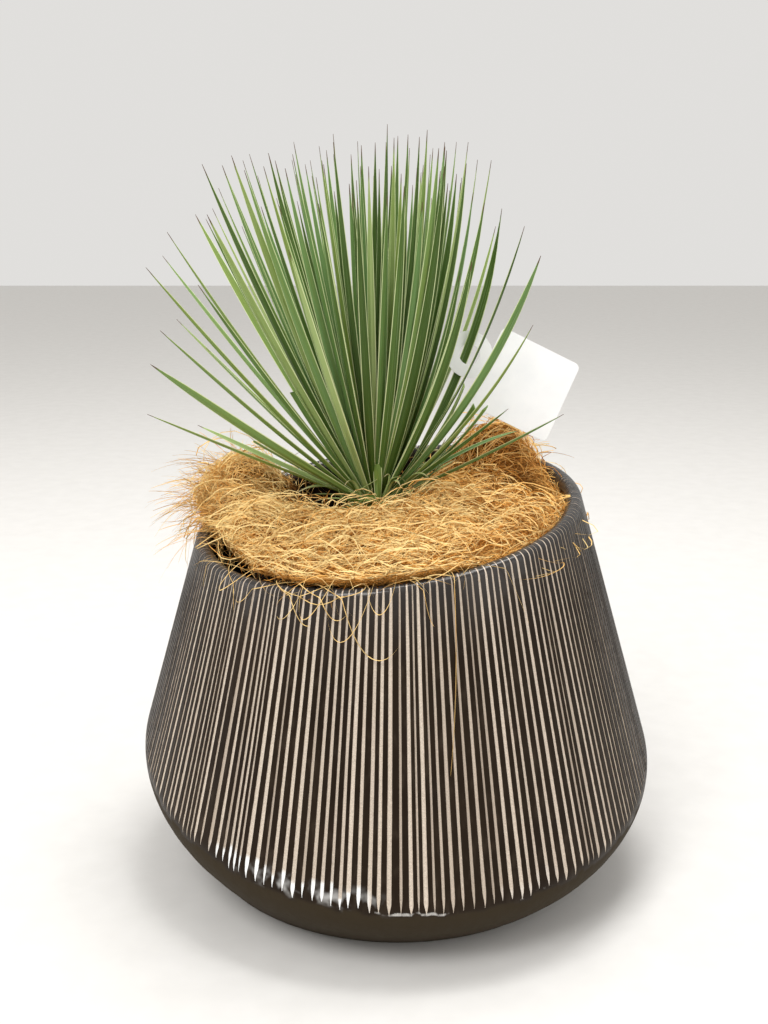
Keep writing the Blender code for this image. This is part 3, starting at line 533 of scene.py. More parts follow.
# Fuzz: thin free strands that leave the bed, lean outwards, curl and hang
FUZZ_SEED = FIBRE_SEED + 50
FUZZ_SEGMENTS = 9
FUZZ_RADIUS = 0.00030
FUZZ_SIZES = (0.6, 1.2)
FUZZ_TONES = (0.55, 1.0)
FUZZ_SLOPE = (0.0, 1.01)
FUZZ_LENGTHS = (0.35, 1.25)
FUZZ_LENGTH_POWER = 1.5
FUZZ_OUT = 0.7
FUZZ_CURL = 0.8
FUZZ_CURL_SPREAD = 0.7
FUZZ_END = 0.6
FUZZ_HANG = 0.25
FUZZ_SINK = 0.003
LEAST_GUIDE = 0.01
FUZZ_ZONES = (
    Fuzz("fuzz_left", (135.0, 215.0), 420, 0.033, 0.7, 0.0, 0.0),
    Fuzz("fuzz_spray", (158.0, 190.0), 900, 0.045, 0.75, 0.08, 0.152),
    Fuzz("fuzz_right", (5.0, 70.0), 260, 0.036, 0.6, 0.0, 0.0),
    Fuzz("fuzz_front", (215.0, 325.0), 160, 0.022, 0.6, 0.0, 0.0),
)

# Long strands on the wall: degrees, travel and height off the wall of the points that guide each
WALL_STRANDS = (
    ((238.0, 0.45, 0.003), (237.0, 1.05, 0.003), (244.0, 1.14, 0.002),
     (268.0, 1.14, 0.002), (266.0, 0.70, 0.003), (258.0, 0.45, 0.004)),
    ((236.0, 0.45, 0.003), (238.0, 0.90, 0.003), (245.0, 1.12, 0.002), (249.0, 1.10, 0.002)),
    ((243.0, 0.45, 0.003), (236.0, 0.90, 0.003), (229.0, 1.10, 0.002), (226.0, 1.06, 0.002)),
    ((247.0, 0.45, 0.003), (255.0, 0.90, 0.003), (258.0, 1.22, 0.002),
     (266.0, 1.28, 0.002), (271.0, 1.16, 0.005)),
    ((241.0, 0.40, 0.004), (246.0, 0.80, 0.004), (252.0, 1.16, 0.002), (258.0, 1.06, 0.003)),
    ((256.0, 0.40, 0.004), (250.0, 0.90, 0.003), (243.0, 1.14, 0.002), (240.0, 1.08, 0.002)),
    ((272.0, 0.45, 0.003), (275.0, 0.80, 0.003), (277.0, 1.10, 0.002), (279.0, 1.12, 0.002)),
    ((284.0, 0.45, 0.003), (286.0, 0.95, 0.003), (284.0, 1.30, 0.002), (281.0, 1.60, 0.002)),
    ((287.0, 0.45, 0.004), (294.0, 0.85, 0.006), (301.0, 1.05, 0.004), (304.0, 1.20, 0.002)),
    ((226.0, 0.30, 0.004), (219.0, 0.60, 0.006), (209.0, 0.75, 0.004), (203.0, 1.05, 0.003)),
    ((221.0, 0.25, 0.004), (213.0, 0.50, 0.006), (208.0, 0.90, 0.003), (210.0, 1.08, 0.002)),
    ((214.0, 0.25, 0.004), (216.0, 0.50, 0.004), (223.0, 0.95, 0.003), (226.0, 1.10, 0.002)),
)
LONG_SEGMENTS = 28
EARLY_SEGMENT = 5
LOOP_RADIUS = 0.00042
LOOP_TONE = 0.9

# Floor, camera at the photograph's viewing angle, pale room and lights: name, place, size and power
FLOOR_SIZE = 14.0
CAMERA_PLACE = (-0.0113, -1.082, 0.608)
CAMERA_PITCH = 14.67
CAMERA_LENS = 43.49
ROOM_COLOUR = (1.0, 0.985, 0.96, 1.0)
WORLD_STRENGTH = 0.75
LIT_PLACE = Vector((0.0, 0.0, 0.3))
LIGHTS = (
    ("key light", (-1.1, -1.7, 2.5), 1.2, 40.0),
    ("fill light", (1.9, -1.3, 1.5), 1.8, 10.0),
    ("top light", (0.3, 0.5, 2.7), 1.2, 42.0),
    ("side light", (-2.3, 0.1, 1.1), 1.4, 9.0),
)


def direction(angle):
    """Return the level unit vector at an angle from +X."""
    return Vector((math.cos(angle), math.sin(angle), 0.0))


def smoothstep(low, high, value):
    """Return 0 below low, 1 above high and a soft step between."""
    share = min(max((value - low) / (high - low), 0.0), 1.0)
    return share * share * (3.0 - 2.0 * share)


def zone_share(zone, degrees):
    """Return 1 inside a zone round the planter, 0 outside it and a soft step at both its ends."""
    return smoothstep(zone[0], zone[1], degrees) * (1.0 - smoothstep(zone[2], zone[3], degrees))


def bezier(points, share):
    """Return the point of a Bezier curve of any degree."""
    points = list(points)
    while len(points) > 1:
        points = [a.lerp(b, share) for a, b in zip(points, points[1:])]
    return points[0]


def heading(curve, share):
    """Return the unit vector along a Bezier curve at one share of it."""
    return (bezier(curve, share + CURVE_STEP) - bezier(curve, share - CURVE_STEP)).normalized()


def slanted_ring_point(angle, height, tilt):
    """Return a point of the planter's cone on a slanting plane, at an angle round its axis."""
    climb = tilt[0] * math.cos(angle) + tilt[1] * math.sin(angle)
    radius = (CONE_RADIUS_AT_FLOOR - CONE_NARROWING * height) / (1.0 + CONE_NARROWING * climb)
    return CONE_AXIS + radius * direction(angle) + Vector((0.0, 0.0, height + radius * climb))


def planter_section(angle):
    """Return the section of the planter's wall at one angle as a dictionary of vectors."""
    out = (direction(angle) + Vector((0.0, 0.0, CONE_NARROWING))).normalized()
    down = (CONE_NARROWING * direction(angle) - Vector((0.0, 0.0, 1.0))).normalized()
    rim = slanted_ring_point(angle, RIM_HEIGHT, RIM_TILT)
    corner = slanted_ring_point(angle, SHOULDER_HEIGHT, SHOULDER_TILT)
    foot = FOOT_RADIUS * direction(angle)
    under = foot - corner
    drop = min(SHOULDER_DROP / under.length, SHOULDER_SHARE)
    return {
        "out": out,
        "down": down,
        "roll": rim + ROLL_DROP * down - ROLL_RADIUS * out,
        "shoulder": (corner - SHOULDER_RISE * down, corner, corner + drop * under),
        "foot": foot,
    }


def roll_point(section, degrees, radius=ROLL_RADIUS):
    """Return a point round the rolled rim: 0 is outside, 90 on top and 180 inside."""
    angle = math.radians(degrees)
    return section["roll"] + radius * (math.cos(angle) * section["out"] - math.sin(angle) * section["down"])


def sighted(tip, depth):
    """Return the place at a depth behind the crown of a tip sighted in front of or behind it."""
    plane = CROWN + CENTIMETRE * Vector((tip[0], 0.0, tip[1]))
    reach = (CROWN.y + depth - SIGHT.y) / (CROWN.y - SIGHT.y)
    return SIGHT + reach * (plane - SIGHT)


def mulch_top(place):
    """Return the height of the mulch's surface over a level place."""
    away = place - CONE_AXIS
    height = RIM_HEIGHT + RIM_TILT[0] * away.x + RIM_TILT[1] * away.y + MULCH_RISE
    for degrees, radius, spread, rise in MULCH_HEAPS:
        offset = CONE_AXIS + radius * direction(math.radians(degrees)) - place
        height += rise * math.exp(-(offset.x ** 2 + offset.y ** 2) / spread ** 2)
    near = math.hypot(place.x - CROWN.x, place.y - CROWN.y)
    rear = smoothstep(*REAR_DIP_BEHIND, away.y) * smoothstep(*REAR_DIP_FROM_CROWN, near)
    height -= REAR_DIP * rear * (1.0 - smoothstep(*REAR_DIP_FADES, math.hypot(away.x, away.y)))
    height += MULCH_LUMP * noise.noise(place / MULCH_LUMP_SIZE)
    return max(height, MULCH_BASE + MULCH_LEAST)


def blade_curve(tip):
    """Return the three points that bend a blade from the crown to its tip, clear of the mulch."""
    reach = tip - CROWN
    level = Vector((reach.x, reach.y, 0.0))
    lean = min(math.atan2(level.length, reach.z) / (0.5 * math.pi), 1.0)
    outward = level.normalized()
    drop = BASE_DROP * (1.0 - BASE_DROP_LOST * lean)
    base = CROWN + outward * CROWN_RADIUS * (BASE_INNER + BASE_SPREAD * lean) - Vector((0.0, 0.0, drop))
    middle = base.lerp(tip, BLADE_MIDDLE)
    middle += outward * BLADE_BOW * reach.length * math.sin(math.pi * lean)
    middle.x += RIGHT_BOW * max(reach.x, 0.0) * (reach.z / reach.length) ** 2
    return lifted_clear((base, middle, tip))


def lifted_clear(curve):
    """Raise the middle of a blade's curve until the blade is clear of the mulch."""
    base, middle, tip = curve
    shares = [(i + 1) / LIFT_PLACES for i in range(LIFT_PLACES)]
    for _ in range(LIFT_TRIES):
        places = [bezier((base, middle, tip), share) for share in shares]
        over = [place for place in places if (place - CROWN).xy.length > MULCH_INNER]
        if all(place.z > mulch_top(place) + BLADE_CLEARANCE for place in over):
            break
        middle = middle + Vector((0.0, 0.0, BLADE_LIFT))
    return base, middle, tip


def blade_breadth(share, power):
    """Return how broad a blade is at a share of its length: the smaller the power, the longer its point."""
    neck = NECK_WIDTH + (1.0 - NECK_WIDTH) * smoothstep(0.0, NECK_END, share)
    return neck * (1.0 - min(share, 1.0) ** power)


def tip_depth(tip, side):
    """Return how far behind the crown a sighted tip lies, so that the leaf has its full length."""
    seen = CENTIMETRE * math.hypot(*tip)
    depth = math.sqrt(max(LONGEST_BLADE ** 2 - seen ** 2, 0.0))
    return side * min(depth, MOST_DEPTH * seen)


def card_place(across, up):
    """Return a place on the card's middle plane in the planter's frame."""
    turn = Euler((0.5 * math.pi - CARD_LEAN, CARD_TURN, 0.0), 'ZXY')
    return CARD_CENTRE + turn.to_matrix() @ Vector((across, up, 0.0))


def hook_curve():
    """Return the curve of the leaf that carries the card, through the card's ring."""
    tip = sighted(HOOK_TIP, HOOK_DEPTH)
    base = CROWN + CROWN_RADIUS * Vector((*HOOK_BASE, 0.0)) - Vector((0.0, 0.0, BASE_DROP))
    through = card_place(RING_CENTRE[0] + HOOK_OFFSET, RING_CENTRE[1])
    middle = 2.0 * through - 0.5 * (base + tip)
    return base, middle, tip


def leaf_list():
    """Return every leaf: those with sighted tips, the cut ones, the fill, the hook and the curled."""
    draw = random.Random(LEAF_SEED)
    leaves = []

    def add(tip, kind, width=BLADE_WIDTH, kept=1.0):
        turn = math.radians(draw.uniform(-MOST_TURN, MOST_TURN))
        leaves.append(Leaf(blade_curve(tip), width * draw.uniform(*WIDTH_SPREAD), turn, kept, kind))

    for i, tip in enumerate(LEFT_TIPS + UPRIGHT_TIPS):
        side = (-1.0, 1.0)[i % 2] * draw.uniform(*FAN_SIDE) if tip[1] > LOW_TIP else LOW_SIDE
        add(sighted(tip, tip_depth(tip, side)), "left" if i < len(LEFT_TIPS) else "upright")
    for tip in RIGHT_TIPS:
        side = BEHIND_SIDE if tip in BEHIND_TIPS else RIGHT_SIDE
        add(sighted(tip, tip_depth(tip, draw.uniform(*side))), "right")
    for tip in CUT_TIPS:
        add(sighted(tip, CUT_SIDE * CENTIMETRE * math.hypot(*tip)), "cut", CUT_WIDTH, CUT_SHARE)
    for i in range(FILL_LEAVES):
        share = (i + 0.5) / FILL_LEAVES
        lean = math.radians(FILL_LEAN) * math.sqrt(share)
        away = FILL_SPREAD * math.sin(lean) * direction(i * GOLDEN_ANGLE)
        length = LONGEST_BLADE * draw.uniform(*FILL_LENGTHS)
        shift = Vector((FILL_SHIFT * share, 0.0, 0.0))
        add(CROWN + shift + length * (away + Vector((0.0, 0.0, math.cos(lean)))), "fill")
    leaves.append(Leaf(hook_curve(), BLADE_WIDTH, HOOK_TURN, 1.0, "right"))
    up = Vector((0.0, 0.0, 1.0))
    for degrees, reach, rise in CURLED_LEAVES:
        out = direction(math.radians(degrees))
        base = CROWN + CURLED_ROOT[0] * CROWN_RADIUS * out + CURLED_ROOT[1] * CROWN_DEPTH * up
        middle = CROWN + CURLED_MIDDLE * reach * out + (rise + CURLED_ARCH) * up
        curve = (base, middle, CROWN + reach * out + rise * up)
        leaves.append(Leaf(lifted_clear(curve), CURLED_WIDTH, CURLED_TURN, 1.0, "curled"))
    return leaves


def mulch_reach(angle):
    """Return how far the mulch reaches to the planter's wall: 1 all round except at the rear."""
    degrees = math.degrees(angle) % 360.0
    if degrees > 180.0:
        right = 1.0 - SIDE_GAP_SHARE * smoothstep(SIDE_GAP[0], SIDE_GAP[1], degrees)
        return right - LEFT_GAP_SHARE * zone_share(LEFT_GAP, degrees)
    right = 1.0 - SIDE_GAP_SHARE * (1.0 - smoothstep(SIDE_GAP[2], SIDE_GAP[3], degrees))
    return right * (1.0 - zone_share(REAR_GAP, degrees))


def mulch_overhang(angle):
    """Return how far the mulch lies over the rolled rim, as degrees round the roll."""
    degrees = math.degrees(angle) % 360.0
    zones = ((LEFT_ZONE, LEFT_OVERHANG), (FRONT_ZONE, FRONT_OVERHANG), (RIGHT_ZONE, RIGHT_OVERHANG))
    return LEAST_OVERHANG + sum(size * zone_share(zone, degrees) for zone, size in zones)


def mulch_section(angle):
    """Return one closed section of the bed of fibre, from its underside round to its inner edge."""
    section = planter_section(angle)
    reach = mulch_reach(angle)
    degrees = math.degrees(angle) % 360.0
    inner_radius = MULCH_INNER + HOLLOW_REACH * zone_share(HOLLOW_ZONE, degrees)
    free_radius = MULCH_REAR_RADIUS - REAR_NARROWING * zone_share(REAR_NARROW_ZONE, degrees)
    inner = Vector((CROWN.x, CROWN.y, 0.0)) + inner_radius * direction(angle)
    free = Vector((CROWN.x, CROWN.y, 0.0)) + free_radius * direction(angle)
    wall = roll_point(section, ROLL_INSIDE, ROLL_RADIUS + MULCH_WALL_CLEARANCE)
    wall += section["down"] * max(wall.z - MULCH_BASE, 0.0)
    turns = [ROLL_INSIDE - mulch_overhang(angle) * k / MULCH_ARC_STEPS for k in range(MULCH_ARC_STEPS + 1)]
    arc = [roll_point(section, turn, ROLL_RADIUS + MULCH_CLEARANCE) for turn in turns]
    spill = LEAST_SPILL + LEFT_SPILL * zone_share(LEFT_ZONE, degrees)
    edge = arc[-1] + spill * section["out"] + Vector((0.0, 0.0, MULCH_EDGE_LIFT))
    lowest = MULCH_BASE + MULCH_LEAST
    points = [Vector((inner.x, inner.y, MULCH_BASE))]
    points.append(Vector((*free.lerp(wall, reach).xy, MULCH_BASE)))
    for k, place in enumerate(arc):
        place = free.lerp(place, reach)
        place.z = max(place.z, MULCH_BASE + MULCH_LEDGE * (k + 1))
        points.append(place)
    edge = free.lerp(edge, reach) + (1.0 - reach) * MULCH_REAR_EDGE[0] * direction(angle)
    edge.z = max(edge.z, MULCH_BASE + MULCH_REAR_EDGE[1])
    points.append(edge)
    for k in range(1, BED_STEPS + 1):
        place = inner.lerp(edge, 1.0 - k / BED_STEPS)
        full = smoothstep(0.0, BED_EDGE_STEPS / BED_STEPS, k / BED_STEPS)
        near = math.hypot(place.x - CROWN.x, place.y - CROWN.y)
        top = mulch_top(place) - BED_SINK + BED_LUMP * noise.noise(place / BED_LUMP_SIZE)
        top -= CROWN_DIP * (1.0 - smoothstep(*CROWN_DIP_REACH, near))
        place.z = max(full * top + (1.0 - full) * edge.z, lowest)
        points.append(place)
    return points


def strand_root(degrees):
    """Return a place inside the mulch near its outer edge, where a strand starts."""
    section = mulch_section(math.radians(degrees))
    place = section[OUTER_EDGE_PLACE].lerp(section[-1], STRAND_ROOT_SHARE)
    place.z = mulch_top(place) - STRAND_SINK
    return place


def strand_curves():
    """Return the curves of the long loops over the rim and of the long loose ends."""
    up = Vector((0.0, 0.0, 1.0))
    curves = []
    for first, last, hang in LOOPS:
        start = strand_root(first)
        end = strand_root(last)
        out = direction(math.radians(0.5 * (first + last)))
        lift = LOOP_LIFT[0] * out + LOOP_LIFT[1] * up
        sag = (LOOP_REACH + LOOP_SPREAD * hang) * out - LOOP_SAG * hang * up
        curves.append((start, start + lift, start + sag, end + sag, end + lift, end))
    for degrees, reach, rise, swing in WISPS:
        start = strand_root(degrees)
        out = direction(math.radians(degrees))
        across = Vector((-out.y, out.x, 0.0))
        end = start + reach * out + rise * up + swing * across
        curves.append((start, start + 0.5 * reach * out + WISP_ARCH * up, end))
    return curves


class Value:
    """A number, colour or vector that one node of a surface gives."""

    def __init__(self, surface, socket):
        self.surface = surface
        self.socket = socket

    def __add__(self, other):
        return self.surface.math('ADD', self, other)

    def __sub__(self, other):
        return self.surface.math('SUBTRACT', self, other)

    def __rsub__(self, other):
        return self.surface.math('SUBTRACT', other, self)

    def __mul__(self, other):
        return self.surface.math('MULTIPLY', self, other)

    def __abs__(self):
        return self.surface.math('ABSOLUTE', self)

    __radd__ = __add__
    __rmul__ = __mul__


class Surface:
    """One material, made node by node."""

    def __init__(self, name, **constants):
        self.material = bpy.data.materials.new(name)
        self.material.use_nodes = True
        self.tree = self.material.node_tree
        self.shader = self.tree.nodes["Principled BSDF"]
        for socket, value in constants.items():
            self.feed(self.shader.inputs[socket.replace("_", " ").title().replace("Ior", "IOR")], value)

    def feed(self, socket, value):
        """Give a socket a link from a value, or a number or colour of its own."""
        if isinstance(value, Value):
            self.tree.links.new(value.socket, socket)
        elif isinstance(value, tuple) and len(value) == 3 and len(socket.default_value) == 4:
            socket.default_value = (*value, 1.0)
        else:
            socket.default_value = value

    def node(self, kind, settings, sockets, output=0):
        """Add a node with its settings and sockets, and return one of its outputs."""
        made = self.tree.nodes.new(kind)
        for name, value in settings.items():
            setattr(made, name, value)
        for socket, value in sockets.items():
            self.feed(made.inputs[socket], value)
        return Value(self, made.outputs[output])

    def math(self, operation, *values):
        """Work on numbers."""
        return self.node('ShaderNodeMath', {"operation": operation}, dict(enumerate(values)))

    def attribute(self, name):
        """Return a number that the piece's mesh carries."""
        return self.node('ShaderNodeAttribute', {"attribute_name": name}, {}, "Fac")

    def place(self):
        """Return the place on the piece, in metres."""
        return self.node('ShaderNodeTexCoord', {}, {}, "Object")

    def vector(self, x, y, z):
        """Join three numbers into a vector."""
        return self.node('ShaderNodeCombineXYZ', {}, {0: x, 1: y, 2: z})

    def stretched(self, vector, factors):
        """Return a vector with each of its parts scaled."""
        return self.node('ShaderNodeVectorMath', {"operation": 'MULTIPLY'}, {0: vector, 1: factors})

    def noise(self, vector, scale, detail=3.0, roughness=0.55):
        """Return soft random values round a half."""
        sockets = {"Vector": vector, "Scale": scale, "Detail": detail, "Roughness": roughness}
        return self.node('ShaderNodeTexNoise', {}, sockets, "Fac")

    def band(self, value, low, high, start=0.0, end=1.0):
        """Return a soft step from start to end as a value goes from low to high."""
        sockets = {"Value": value, "From Min": low, "From Max": high, "To Min": start, "To Max": end}
        return self.node('ShaderNodeMapRange', {"interpolation_type": 'SMOOTHSTEP'}, sockets)

    def mix(self, first, second, share):
        """Mix two colours."""
        settings = {"data_type": 'RGBA', "clamp_factor": True}
        return self.node('ShaderNodeMix', settings, {0: share, 6: first, 7: second}, 2)

    def colours(self, value, *stops):
        """Return the colour that a value has on a scale of stops, each a place and a colour."""
        made = self.tree.nodes.new('ShaderNodeValToRGB')
        scale = made.color_ramp.elements
        while len(scale) < len(stops):
            scale.new(0.5)
        for element, (place, colour) in zip(scale, stops):
            element.position = place
            element.color = (*colour, 1.0)
        self.feed(made.inputs[0], value)
        return Value(self, made.outputs[0])

    def bump(self, height, distance, strength=1.0):
        """Raise the surface by a height."""
        sockets = {"Height": height, "Distance": distance, "Strength": strength}
        self.feed(self.shader.inputs["Normal"], self.node('ShaderNodeBump', {}, sockets))

    def finish(self, colour, roughness):
        """Give the shader what changes over the surface, and return the material."""
        self.feed(self.shader.inputs["Base Color"], colour)
        self.feed(self.shader.inputs["Roughness"], roughness)
        return self.material


def carved_slip():
    """Charcoal slip carved through to taupe clay, with painted highlights at the tips of the grooves and a
    painted sheen on the rim.
    """
    surface = Surface("carved slip over clay", specular_ior_level=0.15, specular_tint=(1.0, 0.80, 0.64))
    place = surface.place()
    grain = surface.noise(place, 900.0, 2.0)
    cloud = surface.noise(place, 14.0, 4.0)
    brushed = surface.noise(surface.stretched(place, (1.0, 1.0, 0.16)), 160.0, 3.0)
    edge = surface.noise(surface.stretched(place, (1.0, 1.0, 0.35)), 420.0, 2.0)
    groove = surface.band(surface.attribute("groove") + 0.5 * (edge - 0.5), 0.42, 0.62)
    scuff = surface.noise(surface.stretched(place, (1.0, 1.0, 0.5)), 60.0, 6.0, 0.7)
    under = surface.attribute("under")
    slip = surface.colours(cloud, (0.3, (0.0085, 0.0050, 0.0028)), (0.7, (0.0170, 0.0105, 0.0062)))
    slip = surface.mix(slip, (0.040, 0.029, 0.020), 0.5 * surface.band(brushed, 0.5, 0.75))
    slip = surface.mix(slip, (0.24, 0.22, 0.20), 0.5 * surface.band(scuff, 0.72, 0.82))
    slip = surface.mix(slip, (0.034, 0.025, 0.014), under)
    # Painted sheen: the slip on the rolled rim is lightened to a cool grey; the coat below adds real gloss
    # there
    rim = surface.attribute("rim")
    slip = surface.mix(slip, (0.026, 0.026, 0.027), 0.8 * rim)
    clay = surface.colours(grain, (0.25, (0.53, 0.445, 0.36)), (0.75, (0.78, 0.685, 0.58)))
    clay = surface.mix(clay, (0.36, 0.29, 0.225), 0.6 * surface.attribute("tone"))
    colour = surface.mix(slip, clay, groove)
    # Painted highlight: the last part of each groove is whitened where the shoulder catches the light
    tip_shine = surface.band(surface.attribute("tip_highlight") + 0.3 * (scuff - 0.5), 0.15, 0.80)
    colour = surface.mix(colour, (0.93, 0.93, 0.92), tip_shine * groove)
    # Painted glow of the highlight on the ridges beside the tips
    patches = surface.noise(place, 70.0, 2.0)
    ridge_glow = surface.attribute("dust") * surface.band(patches, 0.48, 0.70)
    colour = surface.mix(colour, (0.80, 0.79, 0.77), 0.5 * ridge_glow * (1.0 - 0.7 * groove))
    # Painted highlight line below the tips, along the shoulder
    line = surface.band(surface.attribute("highlight_line") + 1.1 * (scuff - 0.5), 0.50, 0.72)
    colour = surface.mix(colour, (0.62, 0.60, 0.57), 0.8 * line)
    surface.feed(surface.shader.inputs["Coat Weight"], 0.55 * rim)
    roughness = 0.26 + 0.20 * brushed + 0.40 * groove + 0.40 * under
    surface.bump(0.6 * grain + 1.0 * brushed + 0.4 * scuff, 0.0004, 0.5)
    return surface.finish(colour, roughness)


def leaf_skin():
    """Stiff waxy blade: fine lengthwise lines, pale margins, a brown point and an olive foot darkened as
    painted shade.
    """
    surface = Surface("leaf skin", specular_ior_level=0.28)
    across = surface.attribute("across")
    along = surface.attribute("along")
    tone = surface.attribute("tone")
    lines = surface.noise(surface.vector(9.0 * across, 2.0 * along, 40.0 * tone), 1.0, 4.0, 0.65)
    broad = surface.noise(surface.vector(1.2 * across, 5.0 * along, 70.0 * tone), 1.0, 2.0)
    colour = surface.colours(
        tone + 0.35 * (broad - 0.5),
        (0.0, (0.050, 0.098, 0.012)),
        (0.25, (0.095, 0.180, 0.032)),
        (0.5, (0.150, 0.270, 0.085)),
        (0.75, (0.185, 0.265, 0.044)),
        (1.0, (0.320, 0.420, 0.150)),
    )
    colour = surface.mix(colour, (0.022, 0.046, 0.004), 0.6 * surface.band(lines, 0.50, 0.72))
    colour = surface.mix(colour, (0.34, 0.47, 0.24), 0.5 * surface.band(lines, 0.43, 0.28))
    # Foot of the blade: an olive tint, darkened as painted shade where the blades crowd at the crown
    foot = surface.band(along, 0.02, 0.16, 1.0, 0.0)
    colour = surface.mix(colour, (0.110, 0.145, 0.020), 0.55 * foot)
    margin = surface.band(abs(across), 0.79, 0.91)
    colour = surface.mix(colour, (0.70, 0.78, 0.42), 0.88 * margin)
    point = surface.band(along + 0.03 * (broad - 0.5), 0.962, 0.985)
    colour = surface.mix(colour, (0.105, 0.055, 0.028), point)
    surface.bump(lines, 0.0003, 0.35)
    return surface.finish(colour, 0.40 + 0.22 * lines)


def curled_skin():
    """Young or drying leaf: pale yellow green, browning at its end."""
    surface = Surface("curled leaf skin", specular_ior_level=0.4)
    along = surface.attribute("along")
    across = surface.attribute("across")
    tone = surface.attribute("tone")
    lines = surface.noise(surface.vector(7.0 * across, 2.0 * along, 40.0 * tone), 1.0, 3.0)
    colour = surface.colours(lines, (0.3, (0.22, 0.30, 0.085)), (0.7, (0.44, 0.50, 0.19)))
    colour = surface.mix(colour, (0.50, 0.42, 0.22), surface.band(along + 0.2 * tone, 0.75, 1.1))
    surface.bump(lines, 0.0002, 0.3)
    return surface.finish(colour, 0.5 + 0.2 * lines)


def fibre_skin():
    """Golden coconut fibre: every fibre has its own tone and is darkened where it dips low, as painted
    shade.
    """
    surface = Surface("coconut fibre strand", specular_ior_level=0.02)
    tone = surface.attribute("tone")
    along = surface.attribute("along")
    depth = surface.attribute("depth")
    patch = surface.noise(surface.place(), 26.0, 3.0)
    flecks = surface.noise(surface.vector(30.0 * along, 90.0 * tone, 0.0), 1.0, 2.0)
    colour = surface.colours(
        tone + 0.40 * (patch - 0.5) + 0.12 * (flecks - 0.5),
        (0.0, (0.38, 0.120, 0.012)),
        (0.3, (0.67, 0.305, 0.064)),
        (0.65, (0.91, 0.490, 0.134)),
        (1.0, (0.98, 0.725, 0.325)),
    )
    # Painted shade: strands that lie low among the others are darkened
    colour = surface.mix(colour, (0.26, 0.085, 0.009), 0.75 * depth)
    return surface.finish(colour, 0.55 + 0.2 * flecks)


def fibre_bed():
    """The packed fibre under the loose strands, with painted shade between crossing fibres, painted light on
    its outer edge and painted shade in its hollows.
    """
    surface = Surface("packed coconut fibre", specular_ior_level=0.02)
    place = surface.place()
    turned = surface.node('ShaderNodeMapping', {}, {"Vector": place, "Rotation": (0.0, 0.0, 1.1)})
    first = surface.noise(surface.stretched(place, (0.12, 1.0, 1.0)), 900.0, 3.0)
    second = surface.noise(surface.stretched(turned, (0.12, 1.0, 1.0)), 800.0, 3.0)
    fibres = surface.math('MAXIMUM', first, second)
    # Painted shade: the packed fibre darkens to near black between its crossing fibres
    colour = surface.colours(
        fibres,
        (0.45, (0.050, 0.019, 0.004)),
        (0.62, (0.24, 0.100, 0.022)),
        (0.78, (0.60, 0.290, 0.070)),
    )
    # Painted light: a paler scale for the outer edge of the bed, which overhangs the rim and faces down into
    # shade
    pale = surface.colours(
        fibres,
        (0.45, (0.150, 0.068, 0.016)),
        (0.60, (0.52, 0.255, 0.066)),
        (0.74, (0.95, 0.580, 0.200)),
    )
    colour = surface.mix(colour, pale, surface.attribute("edge"))
    # Painted shade: the hollows are darkened to near black
    colour = surface.mix(colour, (0.010, 0.006, 0.004), surface.attribute("bare"))
    surface.bump(fibres, 0.0015, 0.8)
    return surface.finish(colour, 0.85 - 0.1 * fibres)


def pot_plastic():
    """Matt black moulded plastic, a little dusty."""
    surface = Surface("grow pot plastic", specular_ior_level=0.4)
    place = surface.place()
    pebble = surface.noise(place, 1500.0, 2.0)
    dust = surface.noise(place, 30.0, 5.0, 0.65)
    colour = surface.mix((0.012, 0.012, 0.013), (0.085, 0.070, 0.055), 0.5 * surface.band(dust, 0.5, 0.75))
    surface.bump(pebble, 0.0002, 0.5)
    return surface.finish(colour, 0.42 + 0.3 * dust)


def potting_soil():
    """Dark crumbly soil with lighter flecks."""
    surface = Surface("potting soil", specular_ior_level=0.2)
    place = surface.place()
    crumb = surface.noise(place, 350.0, 5.0, 0.7)
    cell = surface.node('ShaderNodeTexVoronoi', {}, {"Vector": place, "Scale": 420.0}, "Distance")
    colour = surface.colours(crumb, (0.3, (0.012, 0.008, 0.005)), (0.7, (0.070, 0.044, 0.027)))
    colour = surface.mix(colour, (0.22, 0.16, 0.10), surface.band(crumb - 0.3 * cell, 0.52, 0.60))
    surface.bump(crumb + 0.5 * cell, 0.002, 0.8)
    return surface.finish(colour, 0.95 - 0.1 * crumb)


def stem_bark():
    """Rough fibrous stem."""
    surface = Surface("stem bark", specular_ior_level=0.25)
    place = surface.place()
    fibres = surface.noise(surface.stretched(place, (1.0, 1.0, 0.15)), 500.0, 4.0)
    colour = surface.colours(fibres, (0.3, (0.045, 0.030, 0.016)), (0.7, (0.23, 0.17, 0.09)))
    surface.bump(fibres, 0.001, 0.7)
    return surface.finish(colour, 0.8 + 0.1 * fibres)


def white_card():
    """Smooth white card with a faint tooth and a faint cloudy tone."""
    surface = Surface("white card", specular_ior_level=0.4)
    place = surface.place()
    tooth = surface.noise(place, 1800.0, 3.0)
    cloud = surface.noise(place, 40.0, 3.0)
    colour = surface.colours(cloud, (0.3, (0.84, 0.845, 0.85)), (0.7, (0.91, 0.91, 0.905)))
    surface.bump(tooth, 0.00005, 0.4)
    return surface.finish(colour, 0.38 + 0.15 * tooth)


def pale_floor():
    """Plain pale floor."""
    surface = Surface("pale floor", specular_ior_level=0.2)
    grain = surface.noise(surface.place(), 30.0, 2.0)
    colour = surface.colours(grain, (0.3, (0.70, 0.685, 0.66)), (0.7, (0.73, 0.715, 0.69)))
    return surface.finish(colour, 0.6)


def deselect_all():
    """Leave no object selected, so that an operator works on the new piece alone."""
    bpy.ops.object.select_all(action='DESELECT')


